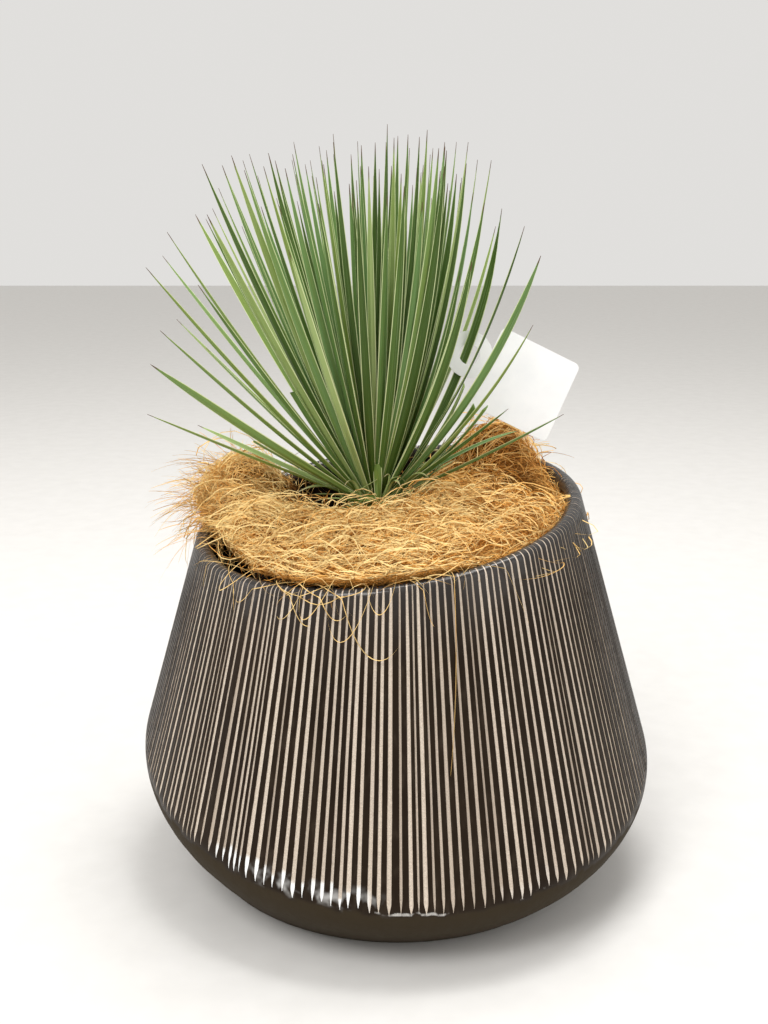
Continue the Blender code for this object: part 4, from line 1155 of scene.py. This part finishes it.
def close_mesh(made):
    """Join the seam of a wrapped piece, cover its open ends and point its faces outwards."""
    bpy.ops.object.mode_set(mode='EDIT')
    bpy.ops.mesh.select_all(action='SELECT')
    bpy.ops.mesh.remove_doubles(threshold=MERGE)
    bpy.ops.mesh.select_all(action='SELECT')
    bpy.ops.mesh.fill_holes(sides=0)
    bpy.ops.mesh.select_all(action='SELECT')
    bpy.ops.mesh.normals_make_consistent(inside=False)
    bpy.ops.object.mode_set(mode='OBJECT')
    return made


def carry(mesh, name, numbers):
    """Give a mesh one number for each vertex, for its surface to read."""
    layer = mesh.attributes.new(name, 'FLOAT', 'POINT')
    layer.data.foreach_set("value", np.ascontiguousarray(numbers, dtype=np.float32).ravel())


def wrapped_grid(points, numbers):
    """Add a grid and wrap it over rows of points that run round the planter's axis."""
    rows, columns = points.shape[:2]
    deselect_all()
    bpy.ops.mesh.primitive_grid_add(x_subdivisions=columns, y_subdivisions=rows - 1, size=2.0)
    made = bpy.context.object
    flat = np.empty(3 * len(made.data.vertices), dtype=np.float32)
    made.data.vertices.foreach_get("co", flat)
    flat = flat.reshape(-1, 3)
    column = np.rint(0.5 * (flat[:, 0] + 1.0) * columns).astype(int) % columns
    row = np.rint(0.5 * (flat[:, 1] + 1.0) * (rows - 1)).astype(int)
    made.data.vertices.foreach_set("co", points[row, column].astype(np.float32).ravel())
    for name, values in numbers.items():
        carry(made.data, name, values[row, column])
    return close_mesh(made)


def dress(made, name, surface, node, sharp=None):
    """Name a piece, give it its surface and fix it to the frame in place of a node."""
    made.name = name
    made.data.name = name
    made.data.materials.clear()
    made.data.materials.append(surface)
    if sharp is not None:
        deselect_all()
        made.select_set(True)
        bpy.context.view_layer.objects.active = made
        bpy.ops.object.shade_smooth_by_angle(angle=math.radians(sharp))
    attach(made, "root")
    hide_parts(node)
    return made


def groove_cells():
    """Return the carved grooves: the source's random cells, each with its own breadth, start and tip."""
    draw = random.Random(GROOVE_SEED)
    pitches = [draw.uniform(1.0 - RIDGE_SPREAD, 1.0 + RIDGE_SPREAD) for _ in range(GROOVES)]
    unit = 2.0 * math.pi / sum(pitches)
    looks = random.Random(GROOVE_LOOK_SEED)
    cells = []
    start = 0.0
    for pitch in pitches:
        share = min(looks.uniform(*STRIPE_SHARES) / pitch ** STRIPE_POWER, WIDEST_STRIPE)
        begin = looks.uniform(*GROOVE_START)
        end = 2.0 + GROOVE_END + looks.uniform(-GROOVE_END_SPREAD, GROOVE_END_SPREAD)
        tip = looks.uniform(*TIP_LENGTH)
        # Length of the painted highlight at this groove's tip
        tip_highlight = looks.uniform(*HIGHLIGHT_LENGTHS)
        tone = looks.random() ** 2
        late = zone_share(LATE_START, math.degrees(start + 0.5 * pitch * unit))
        bare = begin + late * looks.uniform(*LATE_BY)
        cells.append(Groove(start, pitch * unit, share, begin, end, tip, tip_highlight, tone, bare))
        start += pitch * unit
    return cells


def outside_point(angle, travel, depth):
    """Return a point of the planter's outside at a travel down it, sunk by a depth."""
    section = planter_section(angle)
    if travel < 1.0:
        return roll_point(section, ROLL_INSIDE * (1.0 - travel), ROLL_RADIUS - depth)
    if travel < 2.0:
        start = roll_point(section, 0.0)
        return start.lerp(section["shoulder"][0], travel - 1.0) - depth * section["out"]
    inward = section["out"] - (travel - 2.0) * Vector((0.0, 0.0, 1.0))
    return bezier(section["shoulder"], travel - 2.0) - depth * inward


def down_wall(travel):
    """Return how far a travel lies below the start of the shoulder, in metres."""
    return (travel - 2.0) * (WALL_LENGTH if travel < 2.0 else 2.0 * SHOULDER_RISE)


def groove_columns(cell, index, travel):
    """Return the angles, cut depths and clay shares of one groove's six columns at one travel."""
    left = (down_wall(cell.end) - down_wall(travel)) / cell.tip
    early, late = GROOVE_FADE
    present = smoothstep(cell.begin - early, cell.begin + late, travel) if left > 0.0 else 0.0
    bared = smoothstep(cell.bare - early, cell.bare + late, travel) * present
    width = max(min(left, 1.0), TIP_NARROWEST) ** TIP_POWER
    width *= 1.0 - ROLL_NARROWING * (1.0 - smoothstep(*ROLL_TO_WALL, travel))
    across, along, layer = UNEVEN_NOISE
    uneven = noise.noise(Vector((across * index, along * travel, layer)))
    share = cell.share * width * (1.0 + STRIPE_UNEVEN * uneven)
    waver = STRIPE_WAVER * noise.noise(Vector((WAVER_NOISE * index, travel / STRIPE_WAVER_LENGTH, 0.0)))
    middle = cell.start + 0.5 * cell.width + waver
    half = 0.5 * share * cell.width
    inner = half * (1.0 - STRIPE_SIDE)
    angles = (cell.start, middle - half, middle - inner, middle, middle + inner, middle + half)
    depth = GROOVE_DEPTH * present * width
    side = GROOVE_SIDE_DEPTH * depth
    depths = (0.0, 0.0, side, depth, side, 0.0)
    clay = (0.0, 0.0, bared, bared, bared, 0.0)
    return angles, depths, clay


def highlight_shares(angle, travel, cell):
    """Return the painted highlight at a groove's tip, its painted glow on the ridges beside it, and the
    painted highlight line below it.
    """
    degrees = math.degrees(angle) % 360.0
    left = down_wall(cell.end) - down_wall(travel)
    tip = (1.0 - smoothstep(HIGHLIGHT_START * cell.tip_highlight, cell.tip_highlight, left)) * smoothstep(*HIGHLIGHT_END, left)
    strong = zone_share(HIGHLIGHT_STRONG, degrees) + RIGHT_HIGHLIGHT * zone_share(HIGHLIGHT_RIGHT, degrees)
    light = ARC_LINE * zone_share(HIGHLIGHT_ARC, degrees) + RIGHT_LINE * zone_share(HIGHLIGHT_RIGHT, degrees)
    even = down_wall(2.0 + GROOVE_END) - down_wall(travel)
    dust = (1.0 - smoothstep(*RIDGE_GLOW_REACH, even)) * smoothstep(*RIDGE_GLOW_END, left) * zone_share(RIDGE_GLOW, degrees)
    return tip * strong, dust, zone_share(HIGHLIGHT_LINE, left) * light


def make_planter():
    """Model the planter with every groove carved, from inside over the rim to the foot."""
    cells = groove_cells()
    travels = [i / (ROLL_ROWS - 1) for i in range(ROLL_ROWS)]
    travels += [1.0 + travel for travel in WALL_TRAVELS]
    travels += [2.0 + travel for travel in SHOULDER_TRAVELS]
    points = []
    shares = {"groove": [], "tip_highlight": [], "dust": [], "highlight_line": [], "under": [], "rim": []}
    for travel in travels:
        row = []
        looks = []
        rim = 1.0 - smoothstep(*RIM_FADE, travel)
        for index, cell in enumerate(cells):
            under = smoothstep(*UNDER_FADE, travel - cell.end)
            for angle, depth, share in zip(*groove_columns(cell, index, travel)):
                row.append(outside_point(angle, travel, depth)[:])
                looks.append((share, *highlight_shares(angle, travel, cell), under, rim))
        points.append(row)
        for values, column in zip(shares.values(), zip(*looks)):
            values.append(column)
    angles = [angle for index, cell in enumerate(cells) for angle in groove_columns(cell, index, 3.0)[0]]
    sections = [planter_section(angle) for angle in angles]
    below = [[s["shoulder"][2].lerp(s["foot"], share)[:] for s in sections] for share in BELOW_SHARES]
    below.append([(FOOT_EDGE * s["foot"])[:] for s in sections])
    floor = Vector((0.0, 0.0, FLOOR_THICKNESS))
    inside = [
        [(FLOOR_RADIUS / FOOT_RADIUS * s["foot"] + floor)[:] for s in sections],
        [(bezier(s["shoulder"], 0.5) - WALL * (s["out"] + s["down"]).normalized())[:] for s in sections],
        [(s["shoulder"][0] - WALL * s["out"])[:] for s in sections],
    ]
    for times in INNER_WALL_ROWS:
        drop = times * INNER_WALL_START
        inside.append([(roll_point(s, ROLL_INSIDE) + drop * s["down"])[:] for s in sections])
    blank = [0.0] * len(angles)
    tone = [cell.tone for cell in cells for _ in range(len(angles) // len(cells))]
    points = np.array(inside + points + below)
    numbers = {"tone": np.array([tone] * len(points))}
    for name, rows in shares.items():
        last = [1.0] * len(angles) if name == "under" else blank
        numbers[name] = np.array([blank] * len(inside) + rows + [last] * len(below))
    made = wrapped_grid(points, numbers)
    return dress(made, "carved_planter", carved_slip(), "planter", PLANTER_SMOOTH)


def master_rod(sides, segments):
    """Model a straight rod with rings along it, and return what its copies are laid from."""
    deselect_all()
    bpy.ops.mesh.primitive_cylinder_add(vertices=sides, radius=1.0, depth=1.0)
    rod = bpy.context.object
    bpy.ops.object.mode_set(mode='EDIT')
    bpy.ops.mesh.select_mode(type='EDGE')
    bpy.ops.mesh.select_all(action='DESELECT')
    bm = bmesh.from_edit_mesh(rod.data)
    for edge in bm.edges:
        edge.select_set(abs(edge.verts[0].co.z - edge.verts[1].co.z) > 0.5)
    bmesh.update_edit_mesh(rod.data)
    bpy.ops.mesh.subdivide(number_cuts=segments - 1)
    bpy.ops.mesh.select_all(action='SELECT')
    bpy.ops.mesh.quads_convert_to_tris()
    bpy.ops.object.mode_set(mode='OBJECT')
    places = np.array([vertex.co[:] for vertex in rod.data.vertices])
    ring = np.rint((places[:, 2] + 0.5) * segments).astype(int)
    turn = np.arctan2(places[:, 1], places[:, 0]) * sides / (2.0 * math.pi)
    corner = np.floor(turn + 0.25).astype(int) % sides
    triangles = np.array([face.vertices[:] for face in rod.data.polygons])
    bpy.data.objects.remove(rod)
    return Rod(ring, corner, triangles)


def laid_copies(rod, corners, places, across, lift, thick, numbers):
    """Lay copies of a rod along many lines, in one mesh; numbers hold one row for each copy."""
    offsets = np.array(corners)[rod.corner]
    vertices = places[:, rod.ring]
    for part, vectors in enumerate((across, lift, thick)):
        vertices = vertices + offsets[None, :, part, None] * vectors[:, rod.ring]
    copies = len(places)
    steps = len(rod.ring) * np.arange(copies)
    triangles = rod.triangles[None] + steps[:, None, None]
    mesh = bpy.data.meshes.new("copies")
    mesh.from_pydata(vertices.reshape(-1, 3).tolist(), [], triangles.reshape(-1, 3).tolist())
    carry(mesh, "across", np.tile(offsets[:, 0], copies))
    for name, values in numbers.items():
        values = np.asarray(values)
        spread = values[:, rod.ring] if values.ndim == 2 else np.repeat(values, len(rod.ring))
        carry(mesh, name, spread)
    made = bpy.data.objects.new("copies", mesh)
    bpy.context.scene.collection.objects.link(made)
    return made


def blade_frames(leaf, twist):
    """Return the places, side, lift and thickness vectors of a blade's rings, and the shares along it."""
    rows = []
    for k in range(BLADE_SEGMENTS + 1):
        share = k / BLADE_SEGMENTS
        place = bezier(leaf.curve, share)
        along = heading(leaf.curve, share)
        flat_side = Vector((0.0, 0.0, 1.0)).cross(Vector((along.x, along.y, 0.0))).normalized()
        flat_face = along.cross(flat_side)
        turn = leaf.turn + twist * (share - 0.5)
        side = math.cos(turn) * flat_side + math.sin(turn) * flat_face
        face = along.cross(side)
        breadth = LOOK_WIDTH * blade_breadth(share * leaf.kept, POINT_POWERS[leaf.kind])
        half = max(0.5 * leaf.width * breadth, THINNEST_HALF)
        slant = CUT_SLANT * half if leaf.kept < 1.0 and k == BLADE_SEGMENTS else 0.0
        thick = 0.5 * BLADE_THICKNESS * (TIP_THICKNESS + (1.0 - TIP_THICKNESS) * breadth)
        rows.append((place, half * side + slant * along, 2.0 * half * LOOK_FOLD * face, thick * face))
    return rows


def small_leaves(table, draw):
    """Return the frames, tone and kept share of a table of small leaves round the crown's foot."""
    small = []
    for places, width, kept in table:
        curve = tuple(CROWN + MILLIMETRE * Vector(place) for place in places)
        turn = draw.uniform(-YOUNG_TURN, YOUNG_TURN)
        leaf = Leaf(curve, width, turn, kept, "young" if kept == 1.0 else "stub")
        tone = draw.random() if kept == 1.0 else draw.uniform(*STUB_TONES)
        small.append((blade_frames(leaf, draw.uniform(-YOUNG_TWIST, YOUNG_TWIST)), tone, kept))
    return small


def make_leaves():
    """Model one blade and lay a copy along every leaf's own curve, in groups that share a finish."""
    blade = master_rod(len(BLADE_CORNERS), BLADE_SEGMENTS)
    skin = leaf_skin()
    curled = curled_skin()
    draw = random.Random(LOOK_SEED)
    groups = {}
    for leaf in leaf_list():
        tone = min(max(draw.gauss(*LEAF_TONES[leaf.kind]), 0.0), 1.0)
        twist = draw.uniform(-BLADE_TWIST, BLADE_TWIST)
        groups.setdefault(leaf.kind, []).append((blade_frames(leaf, twist), tone, leaf.kept))
    shares = np.arange(BLADE_SEGMENTS + 1) / BLADE_SEGMENTS
    groups["young"] = small_leaves(YOUNG_LEAVES, draw)
    groups["stub"] = small_leaves(STUBS, draw)
    for kind, leaves in groups.items():
        vectors = np.array([[[part[:] for part in row] for row in frames] for frames, _, _ in leaves])
        numbers = {
            "tone": np.array([tone for _, tone, _ in leaves]),
            "along": np.array([kept * shares for _, _, kept in leaves]),
        }
        made = laid_copies(blade, BLADE_CORNERS, *vectors.transpose(2, 0, 1, 3), numbers)
        pale = kind in ("curled", "young")
        dress(made, "leaves_%s" % kind, curled if pale else skin, "leaves", LEAF_SMOOTH)


def make_crown():
    """Model the crown of leaf bases as a ribbed knob that the blades rise from."""
    turns = [2.0 * math.pi * i / CROWN_COLUMNS for i in range(CROWN_COLUMNS)]
    rows = []
    across = []
    for height, width in CROWN_PROFILE:
        ribs = [math.cos(CROWN_RIBS * angle + CROWN_RIB_TURN * height) for angle in turns]
        row = []
        for angle, rib in zip(turns, ribs):
            place = CROWN + width * (1.0 + CROWN_RIB * rib) * CROWN_RADIUS * direction(angle)
            row.append((place.x, place.y, CROWN.z + height * CROWN_DEPTH))
        rows.append(row)
        across.append([CROWN_ACROSS * rib for rib in ribs])
    points = np.array(rows)
    numbers = {
        "across": np.array(across),
        "along": np.full(points.shape[:2], CROWN_ALONG),
        "tone": np.full(points.shape[:2], CROWN_TONE),
    }
    made = wrapped_grid(points, numbers)
    dress(made, "leaf_crown", leaf_skin(), "leaves", CROWN_SMOOTH)


def make_bed():
    """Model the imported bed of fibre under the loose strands."""
    turns = [2.0 * math.pi * i / BED_COLUMNS for i in range(BED_COLUMNS)]
    sections = [mulch_section(angle) for angle in turns]
    points = np.array([[section[k][:] for section in sections] for k in range(len(sections[0]))])
    points = np.concatenate((points, points[:1]))
    # Share of each corner in a hollow, for the painted shade
    bare = np.array([[hollow_share(Vector(place)) for place in row] for row in points])
    # Rows near the outer edge that take the painted light
    full, none = BED_EDGE_ROWS
    near_edge = np.clip((none - np.arange(len(points))) / (none - full), 0.0, 1.0)
    edge = np.repeat(near_edge[:, None], BED_COLUMNS, axis=1)
    made = wrapped_grid(points, {"bare": bare, "edge": edge})
    return dress(made, "fibre_bed", fibre_bed(), "mulch", BED_SMOOTH)


def rim_guide():
    """Return the smooth corners and faces of the planter's rim and upper wall, for strands to lie on."""
    turns = [2.0 * math.pi * i / GUIDE_COLUMNS for i in range(GUIDE_COLUMNS)]
    corners = [outside_point(angle, travel, 0.0) for travel in GUIDE_TRAVELS for angle in turns]
    faces = []
    for row in range(len(GUIDE_TRAVELS) - 1):
        near = row * GUIDE_COLUMNS
        far = near + GUIDE_COLUMNS
        for i in range(GUIDE_COLUMNS):
            j = (i + 1) % GUIDE_COLUMNS
            faces.append((near + j, near + i, far + i, far + j))
    return corners, faces


def walking_ground(bed):
    """Return a tree of the bed's and the rim's faces, for strands to be laid over."""
    corners = [vertex.co.copy() for vertex in bed.data.vertices]
    faces = [tuple(face.vertices) for face in bed.data.polygons]
    more_corners, more_faces = rim_guide()
    faces += [tuple(len(corners) + i for i in face) for face in more_faces]
    return BVHTree.FromPolygons(corners + more_corners, faces)


def zone_faces(bed, zone, slopes):
    """Return the faces of the bed in a zone of degrees and between two slopes, and their areas."""
    faces = []
    low, high = zone
    for face in bed.data.polygons:
        centre = face.center
        degrees = math.degrees(math.atan2(centre.y - CONE_AXIS.y, centre.x - CONE_AXIS.x)) % 360.0
        inside = (degrees - low) % 360.0 < (high - low) % 360.0
        if inside and slopes[0] < face.normal.z < slopes[1] and centre.z > MULCH_BASE + BED_FOOT:
            faces.append([bed.data.vertices[i].co.copy() for i in face.vertices])
    areas = [(corners[0] - corners[2]).length * (corners[1] - corners[-1]).length for corners in faces]
    return faces, areas


def random_starts(faces, weights, count, draw):
    """Return random places on the faces, more of them where a face is larger."""
    starts = []
    for corners in draw.choices(faces, weights, k=count):
        across = draw.random()
        near = corners[0].lerp(corners[1], across)
        far = corners[-1].lerp(corners[2], across)
        starts.append(near.lerp(far, draw.random()))
    return starts


def rim_loss(line, rim):
    """Return how likely a strand is left out for lying over the rolled rim."""
    loss = 0.0
    for x, y, _ in line:
        degrees = math.degrees(math.atan2(y - CONE_AXIS.y, x - CONE_AXIS.x)) % 360.0
        over = math.hypot(x - CONE_AXIS.x, y - CONE_AXIS.y) - rim[int(degrees) % len(rim)]
        if over > RIM_SLACK + RIM_REACH * zone_share(RIM_KEPT, degrees):
            return 1.0
        if over > 0.0:
            loss = RIM_LOSS
    return loss


def rim_limits(over):
    """Return how far out strands may lie, for each degree round the planter."""
    limits = []
    for degrees in range(360):
        section = planter_section(math.radians(degrees))
        spill = sum(size * zone_share(zone, degrees) for zone, size in SPILLS)
        limit = (section["roll"] - CONE_AXIS).xy.length + spill - RIM_CLEARANCE
        limits.append(limit + over * zone_share(RIM_KEPT, degrees))
    return limits


def walked_line(ground, start, heading_now, step, bends):
    """Return the places and normals of a line that keeps to the ground from a start."""
    places = []
    normals = []
    place = start
    for bend in bends:
        found, normal, _, _ = ground.find_nearest(place)
        if normal.z < UNDERSIDE:
            normal = -normal
        heading_now = (heading_now - heading_now.dot(normal) * normal).normalized()
        places.append(found[:])
        normals.append(normal[:])
        turn = bend * step
        heading_now = math.cos(turn) * heading_now + math.sin(turn) * normal.cross(heading_now)
        place = found + step * heading_now
    return smooth_line(places), smooth_line(normals)


def smooth_line(rows):
    """Return rows of a line with their small kinks smoothed out."""
    rows = np.array(rows)
    for _ in range(SMOOTHINGS):
        rows[1:-1] = 0.25 * rows[:-2] + 0.5 * rows[1:-1] + 0.25 * rows[2:]
    return rows


def hollow_share(place):
    """Return 1 in a hollow of the fibre, which is painted dark as painted shade, 0 elsewhere."""
    most = 0.0
    for degrees, radius, size in HOLLOW_PLACES:
        centre = CONE_AXIS + radius * direction(math.radians(degrees))
        away = math.hypot(place.x - centre.x, place.y - centre.y)
        most = max(most, 1.0 - smoothstep(0.5 * size, size, away))
    return most


def strands_in_zone(bed, ground, zone, kind, seed):
    """Return the places, normals and tones of strands that lie over one zone of the bed in tufts."""
    draw = random.Random(seed)
    faces, weights = zone_faces(bed, zone.degrees, kind.slopes)
    rim = rim_limits(kind.over)
    lines = []
    while len(lines) < zone.count:
        centre = random_starts(faces, weights, 1, draw)[0]
        away = centre - CONE_AXIS
        order = zone.order * smoothstep(*ORDER_RADII, away.xy.length)
        round_angle = math.atan2(away.y, away.x) + 0.5 * math.pi
        flow = FLOW_TURN * (1.0 - order) * noise.noise(centre / FLOW_SIZE)
        spread = FLOW_SPREAD[0] if draw.random() < order else FLOW_SPREAD[1]
        turn = round_angle + flow + draw.gauss(0.0, spread)
        bend = draw.gauss(0.0, kind.bends[0] if draw.random() < GENTLE_SHARE else kind.bends[1])
        # Painted light and shade: the zone's tone is shifted, paler on the left and darker on the right
        tone = zone.painted_light + draw.gauss(*kind.tone)
        for _ in range(draw.choice(kind.tufts)):
            start = centre + Vector([draw.gauss(0.0, TUFT_SPREAD) for _ in range(3)])
            side = direction(turn + draw.gauss(0.0, TUFT_TURN))
            length = min(draw.lognormvariate(math.log(kind.length), kind.spread), kind.longest)
            own_bend = bend + draw.gauss(0.0, TUFT_BEND)
            sway = draw.gauss(0.0, kind.sway)
            phase = draw.uniform(0.0, 2.0 * math.pi)
            step = length / kind.steps
            bends = [own_bend + sway * math.sin(phase + SWAY_RATE * step * k) for k in range(kind.steps + 1)]
            line, upward = walked_line(ground, start, side, step, bends)
            bare = max(hollow_share(Vector(place)) for place in line)
            if draw.random() < BARE_LOSS * bare or draw.random() < rim_loss(line, rim):
                continue
            lines.append((line, upward, min(max(tone + draw.gauss(0.0, TUFT_TONE), 0.0), 1.0)))
    places, normals, tones = zip(*lines[:zone.count])
    return np.array(places), np.array(normals), np.array(tones)


def lifted_strands(places, normals, kind, rng):
    """Raise strands off the ground by random heights, with arched middles and sunken ends."""
    count, steps = places.shape[:2]
    shares = np.linspace(0.0, 1.0, steps)
    base = rng.uniform(*kind.heights, (count, 1))
    arch = np.where(rng.random((count, 1)) < kind.loose, *kind.arches[::-1])
    rise = arch * np.minimum(rng.exponential(1.0, (count, 1)), HIGHEST_ARCH)
    lean = rng.uniform(*ARCH_LEANS, (count, 1))
    turns = rng.uniform(*WAVES, (count, 1)) * shares + rng.uniform(*WAVE_PHASES, (count, 1))
    wave = kind.wave * np.sin(turns)
    ends = -END_SINK * np.abs(2.0 * shares - 1.0) ** 6
    from_crown = np.linalg.norm(places[..., :2] - np.array(CROWN.xy), axis=2)
    free = np.clip((from_crown - CALM_REACH[0]) / (CALM_REACH[1] - CALM_REACH[0]), LEAST_RISE, 1.0)
    heights = free * (base + rise * np.sin(math.pi * shares ** lean) + wave) + ends
    return places + heights[..., None] * normals, heights


def tube_vectors(places, guide, radius):
    """Return the two vectors across every ring of strands, with pointed ends."""
    along = np.gradient(places, axis=1)
    along /= np.linalg.norm(along, axis=2, keepdims=True)
    side = np.cross(along, guide)
    side /= np.maximum(np.linalg.norm(side, axis=2, keepdims=True), 1e-9)
    face = np.cross(side, along)
    shares = np.linspace(-1.0, 1.0, places.shape[1])
    taper = 1.0 - STRAND_TAPER * np.abs(shares) ** 4
    size = radius[:, None, None] * taper[None, :, None]
    return size * side, size * face


def make_strands(name, rod, surface, places, guide, radius, tone, depth):
    """Lay copies of the master strand along lines as one piece."""
    side, face = tube_vectors(places, guide, radius)
    shares = np.linspace(0.0, 1.0, places.shape[1])
    numbers = {"tone": tone, "depth": depth, "along": np.tile(shares, (len(places), 1))}
    made = laid_copies(rod, STRAND_CORNERS, places, side, face, np.zeros_like(face), numbers)
    made.data.shade_smooth()
    return dress(made, name, surface, "mulch")


def clear_of_ground(ground, line):
    """Tell whether a free strand stays outside the bed and the planter after its first third."""
    for place in line[len(line) // 3:]:
        found, normal, _, _ = ground.find_nearest(place)
        if (Vector(place) - found).dot(normal) < 0.0:
            return False
    return True


def fuzz_lines(bed, ground, fuzz, seed):
    """Return thin free strands that leave the bed in a zone and curl outwards, and a vector across each."""
    draw = random.Random(seed)
    lines = []
    guides = []
    faces, areas = zone_faces(bed, fuzz.degrees, FUZZ_SLOPE)
    away = [(corners[0] - CONE_AXIS).xy.length for corners in faces]
    weights = [area if distance > fuzz.nearest else 0.0 for area, distance in zip(areas, away)]
    for start in random_starts(faces, weights, fuzz.count, draw):
        found, normal, _, _ = ground.find_nearest(start)
        away = (found - CONE_AXIS).xy.normalized()
        out = Vector((away.x, away.y, 0.0))
        loose = Vector([draw.gauss(0.0, fuzz.loosely) for _ in range(3)])
        length = fuzz.reach * draw.uniform(*FUZZ_LENGTHS) ** FUZZ_LENGTH_POWER
        first = ((1.0 - fuzz.droop) * normal + (FUZZ_OUT + fuzz.droop) * out + loose).normalized()
        curl = Vector([draw.gauss(0.0, FUZZ_CURL_SPREAD) for _ in range(3)])
        second = (first + FUZZ_CURL * curl).normalized()
        middle = found + 0.5 * length * first
        hang = Vector((0.0, 0.0, (FUZZ_HANG + fuzz.droop) * length))
        curve = (found - FUZZ_SINK * normal, middle, middle + FUZZ_END * length * second - hang)
        line = [bezier(curve, k / FUZZ_SEGMENTS)[:] for k in range(FUZZ_SEGMENTS + 1)]
        if not clear_of_ground(ground, line):
            continue
        guide = first.cross(second)
        lines.append(line)
        guides.append(guide.normalized()[:] if guide.length > LEAST_GUIDE else (0.0, 0.0, 1.0))
    return np.array(lines), np.repeat(np.array(guides)[:, None], FUZZ_SEGMENTS + 1, axis=1)


def wall_line(steps, shares):
    """Return the places of a strand that lies on the planter: degrees, travel and height guide it."""
    line = []
    for share in shares:
        degrees, travel, height = bezier([Vector(step) for step in steps], share)
        line.append(outside_point(math.radians(degrees), travel, -height)[:])
    return line


def make_loose_strands(bed, ground, surface, rng):
    """Lay the short, edge and long strands over the bed."""
    for kind, zones in STRAND_LAYERS:
        rod = master_rod(len(STRAND_CORNERS), kind.steps)
        for number, zone in enumerate(zones):
            seed = FIBRE_SEED + kind.steps + number
            places, normals, tones = strands_in_zone(bed, ground, zone, kind, seed)
            lines, heights = lifted_strands(places, normals, kind, rng)
            radius = kind.radius * rng.uniform(*STRAND_SIZES, zone.count)
            # How low each strand lies, for its painted shade
            depth = np.clip((FIBRE_SHADE_HEIGHT - heights) / FIBRE_SHADE_HEIGHT, 0.0, 1.0)
            make_strands(zone.name, rod, surface, lines, normals, radius, tones, depth)


def make_fuzz(bed, ground, surface, rng):
    """Let thin free strands stand out from the bed's edges."""
    rod = master_rod(len(STRAND_CORNERS), FUZZ_SEGMENTS)
    for number, fuzz in enumerate(FUZZ_ZONES):
        lines, guide = fuzz_lines(bed, ground, fuzz, FUZZ_SEED + number)
        count = len(lines)
        radius = FUZZ_RADIUS * rng.uniform(*FUZZ_SIZES, count)
        tones = rng.uniform(*FUZZ_TONES, count)
        make_strands(fuzz.name, rod, surface, lines, guide, radius, tones, np.zeros(count))


def make_long_loops(surface):
    """Hang the single long strands: the part's own, and those that lie on the planter's wall."""
    rod = master_rod(len(STRAND_CORNERS), LONG_SEGMENTS)
    shares = [k / LONG_SEGMENTS for k in range(LONG_SEGMENTS + 1)]
    lines = [[bezier(curve, share)[:] for share in shares] for curve in strand_curves()]
    lines = np.array(lines + [wall_line(steps, shares) for steps in WALL_STRANDS])
    across = np.cross(lines[:, EARLY_SEGMENT] - lines[:, 0], lines[:, -1] - lines[:, 0])
    guide = np.repeat(across[:, None], len(shares), axis=1)
    guide /= np.linalg.norm(guide, axis=2, keepdims=True)
    count = len(lines)
    radius = np.full(count, LOOP_RADIUS)
    tones = np.full(count, LOOP_TONE)
    make_strands("fibre_loops", rod, surface, lines, guide, radius, tones, np.zeros(count))


def make_fibre():
    """Model the bed and lay thousands of strands over it, with fuzz at its edges and loops over the rim."""
    bed = make_bed()
    ground = walking_ground(bed)
    surface = fibre_skin()
    rng = np.random.default_rng(FIBRE_SEED)
    make_loose_strands(bed, ground, surface, rng)
    make_fuzz(bed, ground, surface, rng)
    make_long_loops(surface)


def make_stage():
    """Lay the plain pale floor, the soft lights and the camera at the photograph's viewing angle."""
    deselect_all()
    bpy.ops.mesh.primitive_plane_add(size=FLOOR_SIZE)
    floor = bpy.context.object
    floor.name = "floor"
    floor.data.materials.append(pale_floor())
    world = bpy.data.worlds.new("pale room")
    bpy.context.scene.world = world
    world.use_nodes = True
    room = world.node_tree.nodes["Background"].inputs
    room["Color"].default_value = ROOM_COLOUR
    room["Strength"].default_value = WORLD_STRENGTH
    for name, place, size, power in LIGHTS:
        bpy.ops.object.light_add(type='AREA', location=place)
        light = bpy.context.object
        light.name = name
        light.data.size = size
        light.data.energy = power
        towards = LIT_PLACE - light.location
        light.rotation_euler = towards.to_track_quat('-Z', 'Y').to_euler()
    turn = (math.radians(90.0 - CAMERA_PITCH), 0.0, 0.0)
    bpy.ops.object.camera_add(location=CAMERA_PLACE, rotation=turn)
    camera = bpy.context.object
    camera.data.sensor_fit = 'VERTICAL'
    camera.data.sensor_height = 36.0
    camera.data.lens = CAMERA_LENS
    bpy.context.scene.camera = camera
    bpy.context.scene.view_settings.view_transform = 'Standard'


def finish_node(name, surface):
    """Give a node of the frame its surface."""
    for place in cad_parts[name].material_slots:
        place.material = surface


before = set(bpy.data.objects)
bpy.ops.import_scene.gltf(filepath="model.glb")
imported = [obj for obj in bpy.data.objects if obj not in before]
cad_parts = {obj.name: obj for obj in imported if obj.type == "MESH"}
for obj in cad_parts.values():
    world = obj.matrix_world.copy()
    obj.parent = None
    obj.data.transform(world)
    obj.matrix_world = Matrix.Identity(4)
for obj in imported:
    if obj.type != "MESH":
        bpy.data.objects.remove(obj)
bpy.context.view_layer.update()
make_stage()
make_planter()
finish_node("grow_pot", pot_plastic())
finish_node("soil", potting_soil())
finish_node("stem", stem_bark())
finish_node("label_card", white_card())
make_leaves()
make_crown()
make_fibre()
